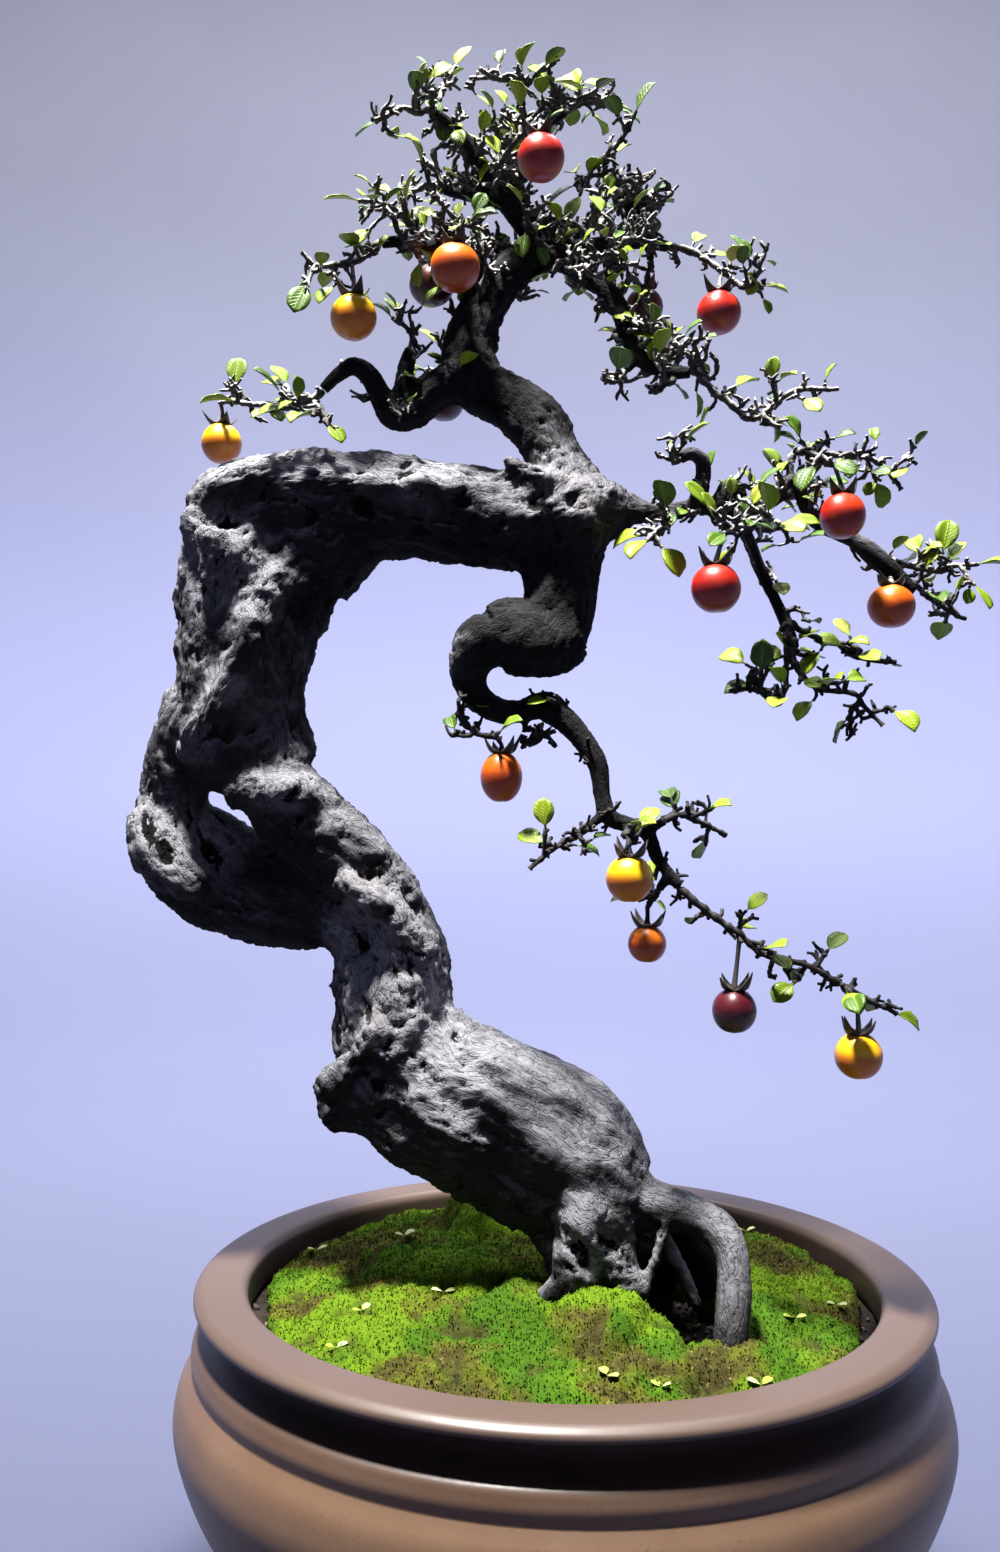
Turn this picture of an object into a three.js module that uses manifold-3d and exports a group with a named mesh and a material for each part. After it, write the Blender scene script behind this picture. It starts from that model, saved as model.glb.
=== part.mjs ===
import * as THREE from 'three';
import { mergeVertices } from 'three/addons/utils/BufferGeometryUtils.js';
import Module from 'manifold-3d';

const wasm = await Module();
wasm.setup();

// Driving dimensions, mm. The origin is the middle of the pot's underside, +Z up.
const RIM_RADIUS = 190;
const RIM_HEIGHT = 170;
const BELLY_RADIUS = 200;
const FOOT_RADIUS = 134;
const POT_FACETS = 32;
const DRAIN_RADIUS = 9;
const DRAIN_CIRCLE = 60;
const SOIL_TOP = 150;
const SOIL_GAP = 0.3;
const MOSS_RADIUS = 156;
const MOSS_CROWN = 26;
const MOSS_EDGE = 8;
const TWIG_TIP = 0.9;
const SPUR_GAP = 0.3;
const LEAF_LENGTH = 16;
const LEAF_WIDTH = 10.5;
const LEAF_THICKNESS = 0.7;
const CALYX_RADIUS = 3.6;
const CALYX_LOBE = 9;
const CALYX_HEIGHT = 1.8;

const BARK = new THREE.MeshStandardMaterial({ color: '#4b4a4c', roughness: 0.95 });
const TWIG_AND_LEAF = new THREE.MeshStandardMaterial({ color: '#7d9440', roughness: 0.8 });
const CLAY = new THREE.MeshStandardMaterial({ color: '#8d7468', roughness: 0.55 });
const SOIL = new THREE.MeshStandardMaterial({ color: '#2e2620', roughness: 1 });
const MOSS = new THREE.MeshStandardMaterial({ color: '#7fa02c', roughness: 1 });
const FRUIT_SKINS = {
  red: new THREE.MeshStandardMaterial({ color: '#c3311d', roughness: 0.3 }),
  maroon: new THREE.MeshStandardMaterial({ color: '#6e1a22', roughness: 0.3 }),
  orange: new THREE.MeshStandardMaterial({ color: '#dd6a14', roughness: 0.3 }),
  amber: new THREE.MeshStandardMaterial({ color: '#e9a012', roughness: 0.3 }),
};

// Seeded numbers from 0 to 1
function seeded(seed) {
  let state = seed >>> 0;
  return () => {
    state = (Math.imul(state, 1664525) + 1013904223) >>> 0;
    return state / 4294967296;
  };
}

function vector([x, y, z]) {
  return new THREE.Vector3(x, y, z);
}

function toSolid(geometry) {
  const bare = geometry.clone();
  bare.deleteAttribute('normal');
  bare.deleteAttribute('uv');
  const merged = mergeVertices(bare, 1e-4);
  const mesh = new wasm.Mesh({
    numProp: 3,
    vertProperties: new Float32Array(merged.attributes.position.array),
    triVerts: new Uint32Array(merged.index.array),
  });
  return new wasm.Manifold(mesh);
}

function toGeometry(solid) {
  const mesh = solid.getMesh();
  const geometry = new THREE.BufferGeometry();
  geometry.setAttribute('position', new THREE.BufferAttribute(new Float32Array(mesh.vertProperties), 3));
  geometry.setIndex(new THREE.BufferAttribute(new Uint32Array(mesh.triVerts), 1));
  geometry.computeVertexNormals();
  return geometry;
}

function fuse(solids) {
  return solids.reduce((whole, next) => whole.add(next));
}

function closedGeometry(points, faces) {
  const geometry = new THREE.BufferGeometry();
  geometry.setAttribute('position', new THREE.Float32BufferAttribute(points.flatMap((p) => [p.x, p.y, p.z]), 3));
  geometry.setIndex(faces.flat());
  return geometry;
}

// Wood swept along stations [x, y, z, radius]. Ends are flat cuts unless they are rounded.
function sweep(stations, sides, { roundStart = false, roundEnd = false, ripple = 0, turn = 0 } = {}) {
  const curve = new THREE.CatmullRomCurve3(stations.map(vector));
  const last = stations.length - 1;
  const cuts = stations.map((station, i) => ({
    centre: vector(station),
    along: curve.getTangent(i / last),
    radius: station[3],
  }));
  const dome = (cut, way) => ({
    centre: cut.centre.clone().addScaledVector(cut.along, way * 0.6 * cut.radius),
    along: cut.along.clone(),
    radius: cut.radius * 0.66,
  });
  if (roundEnd) cuts.push(dome(cuts[cuts.length - 1], 1));
  if (roundStart) cuts.unshift(dome(cuts[0], -1));
  const points = [];
  let across = new THREE.Vector3(0.31, 0.27, 0.91).cross(cuts[0].along).normalize();
  cuts.forEach(({ centre, along, radius }, i) => {
    across = across.clone().addScaledVector(along, -across.dot(along)).normalize();
    const beside = along.clone().cross(across);
    for (let j = 0; j < sides; j++) {
      const angle = (j / sides) * Math.PI * 2;
      const wave = Math.sin(2 * angle + 0.9 * i + turn) + 0.6 * Math.sin(3 * angle - 1.3 * i + 2 * turn);
      const reach = radius * (1 + ripple * wave);
      points.push(centre.clone()
        .addScaledVector(across, Math.cos(angle) * reach)
        .addScaledVector(beside, Math.sin(angle) * reach));
    }
  });
  const faces = [];
  for (let i = 0; i < cuts.length - 1; i++) {
    for (let j = 0; j < sides; j++) {
      const a = i * sides + j;
      const b = i * sides + ((j + 1) % sides);
      faces.push([a, b, a + sides], [b, b + sides, a + sides]);
    }
  }
  const top = (cuts.length - 1) * sides;
  for (let j = 1; j < sides - 1; j++) {
    faces.push([0, j + 1, j], [top, top + j, top + j + 1]);
  }
  return toSolid(closedGeometry(points, faces));
}

// Trunk: the leaning foot, the two lobes round the eye, the column, the arch and the knuckle
const HEAVY_WOOD = [
  [[52, -44, 203, 14], [39, -38, 204, 24], [22, -37, 222, 29], [4, -34, 241, 34], [-28, -28, 257, 36],
    [-62, -20, 270, 37], [-86, -10, 291, 34], [-91, -4, 316, 32], [-95, 0, 341, 31], [-108, 2, 358, 28]],
  [[-86, -20, 268, 29], [-102, -20, 262, 25], [-115, -18, 258, 17]],
  [[-80, -22, 250, 26], [-48, -26, 239, 27], [-12, -31, 226, 27], [18, -35, 208, 22]],
  [[-105, 4, 362, 25], [-128, 8, 359, 22], [-155, 11, 356, 21], [-184, 12, 364, 23], [-205, 10, 384, 25],
    [-214, 8, 412, 22], [-208, 4, 440, 22], [-194, 0, 462, 26]],
  [[-97, -8, 356, 27], [-112, -11, 382, 25], [-130, -14, 402, 23], [-150, -13, 420, 23], [-162, -6, 441, 27],
    [-170, 0, 462, 31]],
  [[-116, 8, 372, 27], [-138, 8, 382, 24], [-160, 10, 384, 17], [-178, 12, 391, 15], [-197, 12, 402, 14]],
  [[-179, 0, 450, 34], [-177, 0, 476, 36], [-175, 2, 498, 37], [-174, 4, 522, 39], [-175, 4, 545, 38],
    [-178, 2, 562, 33]],
  [[-184, 0, 570, 27], [-160, -2, 577, 29], [-137, -4, 577, 30], [-112, -7, 576, 29], [-90, -10, 574, 28],
    [-66, -13, 570, 27], [-38, -19, 565, 26], [-12, -25, 560, 27], [4, -28, 562, 25]],
  [[-155, 2, 524, 28], [-142, 0, 542, 28], [-122, -4, 560, 27]],
  [[-3, -28, 543, 23], [0, -28, 566, 27], [2, -26, 582, 17]],
];

// Limbs: the dead stub, the upper trunk, the hook with its cascade, and the side limbs
const LIMBS = [
  { at: [[0, -28, 564, 24], [17, -29, 565, 20], [28, -30, 566, 13], [37, -31, 566, 6]], sides: 8 },
  { at: [[-1, -27, 570, 20], [-3, -24, 585, 19], [-9, -22, 599, 16], [-14, -20, 611, 16], [-24, -17, 622, 15],
    [-37, -14, 631, 15], [-49, -9, 641, 16], [-54, -5, 657, 16], [-50, -2, 673, 15], [-43, 2, 690, 13],
    [-32, 6, 706, 12], [-21, 9, 717, 11], [-17, 10, 727, 10], [-27, 11, 740, 9], [-37, 10, 752, 8],
    [-44, 8, 762, 6]], sides: 8 },
  { at: [[-3, -28, 556, 22], [-4, -30, 536, 21], [-5, -33, 516, 19], [-7, -37, 500, 17]], sides: 8 },
  { at: [[2, -37, 503, 14], [-8, -41, 496, 16], [-22, -46, 497, 17], [-37, -47, 500, 15]], sides: 8 },
  { at: [[-36, -46, 502, 14], [-45, -46, 492, 14], [-50, -44, 480, 10], [-45, -41, 468, 8], [-33, -42, 461, 7],
    [-18, -45, 461, 6]], sides: 8 },
  { at: [[-38, -46, 507, 9], [-26, -42, 513, 8], [-16, -39, 506, 9]], sides: 8 },
  { at: [[-22, -44, 461, 6], [-9, -47, 464, 7], [-1, -49, 457, 5.5], [9, -52, 446, 4.6], [16, -55, 434, 4.2],
    [18, -57, 420, 3.8], [21, -59, 409, 3.8], [30, -59, 405, 3.4], [40, -59, 401, 3.4], [45, -59, 389, 3.2],
    [56, -60, 375, 3]], sides: 5 },
  { at: [[30, -31, 566, 9], [42, -34, 564, 5.5], [55, -35, 565, 5], [67, -36, 567, 4.6], [80, -36, 566, 4.2],
    [95, -34, 567, 4], [107, -31, 573, 3.8], [112, -28, 582, 3.6], [119, -25, 581, 3.6], [123, -22, 571, 4],
    [130, -20, 562, 4], [141, -17, 557, 3.6], [151, -15, 552, 3.1]], sides: 5 },
  { at: [[64, -36, 565, 4.6], [68, -40, 577, 4.6], [68, -43, 588, 4.4], [62, -45, 592, 3.6], [56, -46, 589, 3]],
    sides: 5 },
  { at: [[84, -36, 566, 4.2], [91, -44, 548, 3.7], [96, -48, 533, 3.3], [103, -52, 517, 3]], sides: 5 },
  { at: [[-22, 8, 715, 9], [-6, 6, 713, 7], [11, 2, 701, 6], [24, -3, 688, 5.6], [30, -6, 674, 5.6],
    [34, -9, 660, 5], [42, -12, 649, 4.6], [53, -14, 644, 4], [64, -16, 643, 3.4]], sides: 5 },
  { at: [[-18, 10, 720, 8], [-3, 14, 722, 5.6], [17, 18, 726, 5], [39, 22, 730, 4.4], [55, 25, 728, 3.2]],
    sides: 5 },
  { at: [[32, 21, 727, 4.4], [37, 22, 740, 4.2], [31, 22, 753, 3.8], [21, 21, 765, 3.1]], sides: 5 },
  { at: [[-42, 4, 694, 7], [-54, -8, 709, 5.6], [-63, -15, 719, 5], [-69, -19, 712, 4.6], [-77, -22, 708, 4],
    [-88, -24, 711, 3.6], [-99, -26, 709, 2.8]], sides: 5 },
  { at: [[-34, 10, 748, 6], [-55, 16, 754, 4], [-70, 22, 760, 3]], sides: 5 },
  { at: [[-52, -9, 643, 15], [-69, -12, 637, 12], [-82, -16, 624, 10.5], [-92, -19, 620, 8.5],
    [-99, -21, 628, 6.8], [-105, -22, 639, 5.8], [-113, -23, 645, 5.2], [-121, -24, 640, 4.2],
    [-129, -25, 632, 3.2]], sides: 7 },
  { at: [[-89, -18, 624, 6], [-86, -20, 644, 5.2], [-83, -21, 655, 4]], sides: 5 },
  { at: [[-37, 10, 748, 7.5], [-47, 6, 762, 6], [-55, 2, 774, 4.4], [-63, -3, 782, 3.4], [-73, -8, 788, 2.8]],
    sides: 5 },
  { at: [[-38, 10, 752, 6.5], [-32, 14, 773, 4.8], [-27, 14, 790, 3.8], [-28, 10, 802, 2.8]], sides: 5 },
  { at: [[-32, 13, 768, 4.4], [-17, 20, 793, 3.4], [-3, 22, 804, 2.8]], sides: 5 },
];

// Roots from the foot of the trunk to the ground, one of them arched clear of it
const ROOTS = [
  { at: [[34, -40, 218, 17], [47, -45, 217, 13], [62, -55, 216, 10], [74, -65, 212, 8.8], [80, -75, 202, 8],
    [80, -84, 186, 8], [78, -88, 168, 8], [78, -88, 132, 8]], sides: 8 },
  { at: [[22, -32, 219, 18], [18, -27, 203, 14], [17, -24, 184, 13], [19, -24, 166, 12], [19, -24, 132, 12]],
    sides: 8 },
  { at: [[36, -34, 208, 17], [42, -16, 194, 13], [48, -4, 174, 11], [48, -4, 132, 11]], sides: 8 },
  { at: [[50, -49, 214, 4], [45, -50, 198, 3], [40, -46, 178, 2.6], [40, -46, 132, 2.6]], sides: 5 },
];

// Short side shoots of the limbs: from inside the wood to the cut where a spray begins
const SPURS = {
  crown_back: [[-38, 14, 764], [-40, 27, 774]],
  crown_front: [[-38, 6, 752], [-39, -7, 754]],
  centre_back: [[-4, 8, 716], [-2, 20, 726]],
  mid_left: [[38, -10, 655], [30, -13, 645]],
  left_mid_up: [[-79, -22, 709], [-83, -25, 717]],
  left_fruit: [[-64, -16, 717], [-61, -26, 715]],
  left_back: [[-66, -17, 715], [-70, -6, 719]],
  back_low: [[-55, 0, 660], [-60, 18, 664]],
  top_fruit: [[44, 23, 729], [45, 25, 720]],
  right_centre: [[89, -42, 553], [91, -53, 553]],
  right_left: [[55, -36, 564], [51, -44, 557]],
  right_high: [[114, -27, 582], [115, -26, 592]],
  right_back: [[105, -32, 572], [113, -21, 576]],
  hook_side: [[-48, -44, 474], [-52, -47, 463]],
  hook_twig: [[-20, -44, 460], [-21, -42, 450]],
  cascade_left: [[20, -58, 411], [12, -61, 404]],
  cascade_right: [[40, -59, 402], [49, -57, 407]],
  cascade_fruit: [[31, -59, 404], [30, -67, 401]],
  cascade_low: [[51, -60, 381], [46, -57, 373]],
};

// Sprays: where each one begins, its leading twigs, how many side twigs and leaves, their reach
const SPRAYS = {
  crown_left: { start: [-73, -8, 788], heading: [-10, -5, 6], twigs: 3, leaves: 4, reach: 16, seed: 11,
    ways: [[[-82, -14, 786], [-90, -20, 785], [-97, -26, 778], [-104, -31, 773]],
      [[-72, 0, 800], [-70, 7, 812], [-64, 11, 825]]] },
  crown_top: { start: [-28, 10, 802], heading: [-1, -4, 12], twigs: 3, leaves: 3, reach: 17, seed: 12,
    ways: [[[-33, 3, 811], [-42, -3, 810], [-50, -9, 812]], [[-22, 6, 814], [-14, 0, 818]]] },
  crown_right: { start: [-3, 22, 804], heading: [14, 2, 11], twigs: 3, leaves: 3, reach: 16, seed: 13,
    ways: [[[7, 26, 811], [16, 30, 813], [24, 34, 811]], [[6, 12, 806], [14, 2, 805]]] },
  crown_back: { start: [-40, 27, 774], heading: [-2, 13, 10], twigs: 3, leaves: 3, reach: 18, seed: 14,
    ways: [[[-41, 44, 788], [-36, 56, 803], [-28, 62, 815]]] },
  crown_front: { start: [-39, -7, 754], heading: [-1, -13, 2], twigs: 2, leaves: 3, reach: 16, seed: 15,
    ways: [[[-35, -21, 757], [-24, -36, 762], [-14, -44, 763]]] },
  up_right: { start: [21, 21, 765], heading: [-10, -1, 12], twigs: 3, leaves: 5, reach: 13, seed: 16,
    ways: [[[21, 18, 777], [30, 14, 786], [36, 9, 797]], [[10, 25, 768], [2, 29, 765]]] },
  top_tip: { start: [55, 25, 728], heading: [16, 3, -2], twigs: 4, leaves: 4, reach: 15, seed: 17,
    ways: [[[69, 24, 724], [84, 20, 712], [96, 14, 700], [103, 12, 709], [108, 11, 723]]] },
  centre_back: { start: [-2, 20, 726], heading: [2, 12, 10], twigs: 3, leaves: 3, reach: 17, seed: 18,
    ways: [[[4, 34, 738], [13, 46, 752], [24, 58, 758]]] },
  mid_tip: { start: [64, -16, 643], heading: [11, -2, -1], twigs: 5, leaves: 3, reach: 14, seed: 19,
    ways: [[[73, -18, 635], [83, -20, 626], [95, -20, 617], [107, -22, 623], [117, -24, 630],
      [139, -28, 630]]] },
  mid_left: { start: [30, -13, 645], heading: [-8, -3, -10], twigs: 1, leaves: 1, reach: 9, seed: 20,
    ways: [[[24, -18, 638], [17, -23, 638]]] },
  left_mid: { start: [-99, -26, 709], heading: [-11, -2, -2], twigs: 3, leaves: 3, reach: 13, seed: 21,
    ways: [[[-107, -28, 702], [-114, -31, 697], [-124, -33, 695], [-133, -36, 694], [-139, -38, 700]]] },
  left_mid_up: { start: [-83, -25, 717], heading: [-4, -3, 8], twigs: 3, leaves: 4, reach: 13, seed: 22,
    ways: [[[-90, -30, 724], [-99, -33, 728], [-110, -37, 727]]] },
  left_high: { start: [-70, 22, 760], heading: [-15, 6, 6], twigs: 2, leaves: 3, reach: 14, seed: 23,
    ways: [[[-80, 26, 765], [-91, 30, 763], [-102, 34, 765]]] },
  left_fruit: { start: [-61, -26, 715], heading: [3, -10, -2], twigs: 1, leaves: 1, reach: 8, seed: 24,
    ways: [[[-59, -34, 713], [-58, -38, 712]]] },
  left_back: { start: [-70, -6, 719], heading: [-4, 11, 4], twigs: 2, leaves: 2, reach: 13, seed: 25,
    ways: [[[-74, 2, 720], [-80, 16, 722], [-84, 30, 728]]] },
  back_low: { start: [-60, 18, 664], heading: [-5, 18, 4], twigs: 2, leaves: 2, reach: 15, seed: 26,
    ways: [[[-65, 30, 665], [-71, 39, 664], [-84, 52, 668]]] },
  left_low: { start: [-129, -25, 632], heading: [-8, -1, -8], twigs: 5, leaves: 6, reach: 12, seed: 27,
    ways: [[[-137, -25, 626], [-148, -22, 624], [-160, -15, 627], [-173, -5, 631], [-186, 6, 636],
      [-195, 16, 638]], [[-130, -30, 620], [-124, -34, 611]]] },
  stub_tip: { start: [-83, -21, 655], heading: [3, -1, 11], twigs: 2, leaves: 1, reach: 10, seed: 48,
    ways: [[[-85, -24, 665], [-93, -28, 669]]] },
  top_fruit: { start: [45, 25, 720], heading: [1, 2, -9], twigs: 1, leaves: 1, reach: 8, seed: 29,
    ways: [[[44, 27, 715], [43, 28, 711]]] },
  right_up: { start: [56, -46, 589], heading: [-6, -1, -3], twigs: 1, leaves: 1, reach: 10, seed: 30,
    ways: [[[52, -48, 590], [50, -50, 597]]] },
  right_centre: { start: [91, -53, 553], heading: [2, -11, 0], twigs: 4, leaves: 5, reach: 14, seed: 31,
    ways: [[[95, -65, 549], [104, -74, 548]], [[84, -65, 551], [75, -74, 545]]] },
  right_left: { start: [51, -44, 557], heading: [-4, -8, -7], twigs: 3, leaves: 4, reach: 11, seed: 32,
    ways: [[[46, -51, 552], [39, -58, 545]]] },
  right_arch: { start: [151, -15, 552], heading: [10, 2, -5], twigs: 5, leaves: 6, reach: 15, seed: 33,
    ways: [[[164, -12, 545], [178, -9, 535], [190, -8, 526], [201, -8, 518], [209, -9, 514]],
      [[189, -15, 538], [198, -20, 540], [211, -24, 540]]] },
  right_high: { start: [115, -26, 592], heading: [1, 1, 10], twigs: 5, leaves: 4, reach: 13, seed: 34,
    ways: [[[119, -24, 599], [132, -16, 600], [146, -9, 600], [161, -4, 600], [172, 0, 593], [178, 2, 585]],
      [[126, -32, 595], [134, -40, 588]]] },
  right_back: { start: [113, -21, 576], heading: [8, 11, 4], twigs: 3, leaves: 3, reach: 16, seed: 35,
    ways: [[[120, -4, 580], [128, 14, 588], [138, 34, 600]]] },
  down: { start: [103, -52, 517], heading: [7, -4, -16], twigs: 5, leaves: 4, reach: 12, seed: 36,
    ways: [[[109, -55, 506], [108, -57, 495], [114, -58, 480], [124, -60, 472], [139, -62, 470],
      [145, -62, 463], [153, -64, 454]], [[105, -61, 466], [92, -64, 471], [79, -66, 470]],
    [[122, -49, 499], [135, -42, 497], [146, -38, 490], [166, -35, 488]]] },
  hook_side: { start: [-52, -47, 463], heading: [-4, -3, -11], twigs: 1, leaves: 0, reach: 8, seed: 37,
    ways: [[[-50, -49, 454], [-42, -51, 449], [-32, -51, 447]]] },
  hook_twig: { start: [-21, -42, 450], heading: [-1, 2, -10], twigs: 1, leaves: 0, reach: 8, seed: 38,
    ways: [[[-17, -39, 446], [-10, -36, 450], [-5, -34, 444]]] },
  cascade_left: { start: [12, -61, 404], heading: [-8, -3, -7], twigs: 2, leaves: 1, reach: 10, seed: 39,
    ways: [[[6, -64, 399], [-4, -67, 394], [-17, -70, 383]]] },
  cascade_right: { start: [49, -57, 407], heading: [9, 2, 5], twigs: 3, leaves: 3, reach: 11, seed: 40,
    ways: [[[57, -54, 410], [68, -51, 406], [80, -48, 400]]] },
  cascade_fruit: { start: [30, -67, 401], heading: [-1, -8, -3], twigs: 1, leaves: 1, reach: 8, seed: 41,
    ways: [[[30, -71, 399], [31, -73, 397]]] },
  cascade_low: { start: [46, -57, 373], heading: [-5, 3, -8], twigs: 1, leaves: 0, reach: 7, seed: 42,
    ways: [[[43, -54, 368], [41, -51, 364]]] },
  cascade_tip: { start: [56, -60, 375], heading: [11, -1, -14], twigs: 6, leaves: 7, reach: 13, seed: 43,
    ways: [[[72, -62, 361], [85, -62, 352], [98, -62, 342], [116, -60, 338], [132, -58, 330],
      [150, -56, 320], [162, -54, 314]]] },
};

// Fruits: the spray that carries each, where its stalk leaves the twig, its middle, width and height
const FRUITS = [
  { on: 'crown_front', from: [-16, -43, 763], at: [-15, -52, 741], wide: 24, tall: 24, skin: 'red' },
  { on: 'left_fruit', from: [-58, -38, 712], at: [-59, -38, 691], wide: 26, tall: 25, skin: 'orange' },
  { on: 'left_back', from: [-74, 2, 720], at: [-75, 0, 697], wide: 24, tall: 23, skin: 'maroon' },
  { on: 'left_mid', from: [-114, -31, 697], at: [-112, -34, 667], wide: 24, tall: 24, skin: 'amber' },
  { on: 'left_low', from: [-194, 15, 638], at: [-196, 26, 618], wide: 23, tall: 23, skin: 'amber' },
  { on: 'back_low', from: [-71, 39, 664], at: [-71, 38, 645], wide: 23, tall: 22, skin: 'maroon' },
  { on: 'top_fruit', from: [43, 28, 712], at: [42, 28, 695], wide: 21, tall: 21, skin: 'maroon' },
  { on: 'top_tip', from: [84, 20, 712], at: [82, 14, 686], wide: 24, tall: 24, skin: 'red' },
  { on: 'right_high', from: [134, -40, 588], at: [138, -42, 561], wide: 23, tall: 24, skin: 'red' },
  { on: 'right_centre', from: [76, -73, 546], at: [71, -78, 518], wide: 24, tall: 24, skin: 'red' },
  { on: 'right_arch', from: [168, -11, 542], at: [166, -26, 518], wide: 24, tall: 23, skin: 'orange' },
  { on: 'hook_side', from: [-34, -51, 447], at: [-32, -50, 428], wide: 21, tall: 26, skin: 'orange' },
  { on: 'cascade_fruit', from: [31, -73, 397], at: [31, -74, 379], wide: 23, tall: 23, skin: 'amber' },
  { on: 'cascade_low', from: [41, -51, 364], at: [41, -50, 346], wide: 19, tall: 19, skin: 'orange' },
  { on: 'cascade_tip', from: [85, -62, 352], at: [82, -66, 316], wide: 21, tall: 22, skin: 'maroon' },
  { on: 'cascade_tip', from: [141, -57, 325], at: [143, -57, 294], wide: 23, tall: 23, skin: 'amber' },
];

function trunkSolid() {
  const heavy = HEAVY_WOOD.map((stations, i) => sweep(stations, 10, {
    roundStart: true, roundEnd: true, ripple: 0.03, turn: i,
  }));
  const limbs = LIMBS.map(({ at, sides }) => sweep(at, sides));
  const roots = ROOTS.map(({ at, sides }) => sweep(at, sides));
  const spurs = Object.values(SPURS).map(([from, to]) => sweep([[...from, 2.8], [...to, 2.4]], 4));
  return fuse([...heavy, ...limbs, ...roots, ...spurs]);
}

// The plain round hole in the soil that a root stands in
function rootHole([x, y, z, radius]) {
  const floor = z - SOIL_GAP;
  const holeRadius = (radius + SOIL_GAP) * 1.05;
  const shape = new THREE.CylinderGeometry(holeRadius, holeRadius, 60, 12);
  shape.rotateX(Math.PI / 2);
  shape.translate(x, y, floor + 30);
  return toSolid(shape);
}

// A twig of square section through places with half thicknesses, that may end in a leaf blade
function shootSolid(places, thickness, face, leafSize) {
  const last = places.length - 1;
  const tip = places[last];
  const end = tip.clone().sub(places[last - 1]).normalize();
  const cuts = places.map((place, i) => ({
    place,
    along: places[Math.min(i + 1, last)].clone().sub(places[Math.max(i - 1, 0)]).normalize(),
    wide: thickness[i],
    thick: thickness[i],
  }));
  if (leafSize > 0) {
    const long = LEAF_LENGTH * leafSize;
    const blade = [[0.48, (LEAF_WIDTH * leafSize) / 2, 1], [1, 0.6, -1.2]];
    blade.forEach(([share, wide, lift]) => cuts.push({
      place: tip.clone().addScaledVector(end, long * share).addScaledVector(face, lift),
      along: end,
      wide,
      thick: LEAF_THICKNESS / 2,
    }));
  }
  const points = cuts.flatMap(({ place, along, wide, thick }) => {
    const side = along.clone().cross(face).normalize();
    const out = side.clone().cross(along);
    return [[1, 1], [-1, 1], [-1, -1], [1, -1]].map(([u, w]) => place.clone()
      .addScaledVector(side, u * wide)
      .addScaledVector(out, w * thick));
  });
  const faces = [];
  for (let i = 0; i < cuts.length - 1; i++) {
    for (let j = 0; j < 4; j++) {
      const a = i * 4 + j;
      const b = i * 4 + ((j + 1) % 4);
      faces.push([a, a + 4, b], [b, a + 4, b + 4]);
    }
  }
  const top = (cuts.length - 1) * 4;
  faces.push([0, 1, 2], [0, 2, 3], [top, top + 2, top + 1], [top, top + 3, top + 2]);
  return toSolid(closedGeometry(points, faces));
}

// A point at a share of the way along a line of places, and the heading there
function alongWay(places, share) {
  const spot = share * (places.length - 1);
  const k = Math.min(Math.floor(spot), places.length - 2);
  const point = places[k].clone().lerp(places[k + 1], spot - k);
  const heading = places[k + 1].clone().sub(places[k]).normalize();
  return { point, heading };
}

function spraySolids(spec) {
  const pick = seeded(spec.seed);
  const solids = [];
  const heading = vector(spec.heading).normalize();
  const start = vector(spec.start).addScaledVector(heading, SPUR_GAP);
  const neck = start.clone().addScaledVector(heading, 3);
  const ends = spec.twigs + spec.ways.length;
  let shoots = 0;
  let leavesDue = 0;
  const nextLeaf = () => {
    leavesDue += spec.leaves / ends;
    if (leavesDue < 0.99) return 0;
    leavesDue -= 1;
    return 0.8 + 0.35 * pick();
  };
  const tilted = () => new THREE.Vector3(pick() - 0.5, -0.3 - pick() * 0.5, 0.8).normalize();
  spec.ways.forEach((way, w) => {
    const lead = [start, neck, ...spec.ways[0].map(vector)];
    const places = w === 0 ? lead : [alongWay(lead, 0.25).point, ...way.map(vector)];
    const girth = w === 0 ? 1.7 : 1.2;
    const thickness = places.map((_, i) => THREE.MathUtils.lerp(girth, TWIG_TIP, i / (places.length - 1)));
    solids.push(shootSolid(places, thickness, tilted(), nextLeaf()));
    const share = Math.round(spec.twigs * (way.length / spec.ways.flat().length));
    for (let i = 0; i < share; i++) {
      const { point, heading: run } = alongWay(places, 0.3 + (0.62 * (i + 0.5)) / share);
      const turn = shoots * 2.4 + pick() * 1.2;
      const across = new THREE.Vector3(0, 0, 1).cross(run).normalize();
      const over = run.clone().cross(across);
      const aim = run.clone().multiplyScalar(0.45)
        .addScaledVector(across, Math.cos(turn))
        .addScaledVector(over, Math.sin(turn))
        .add(new THREE.Vector3(0, 0, 0.2))
        .normalize();
      const reach = spec.reach * (0.55 + 0.6 * pick());
      const tip = point.clone().addScaledVector(aim, reach);
      solids.push(shootSolid([point, tip], [0.95, 0.8], tilted(), nextLeaf()));
      shoots += 1;
    }
  });
  return solids;
}

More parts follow.
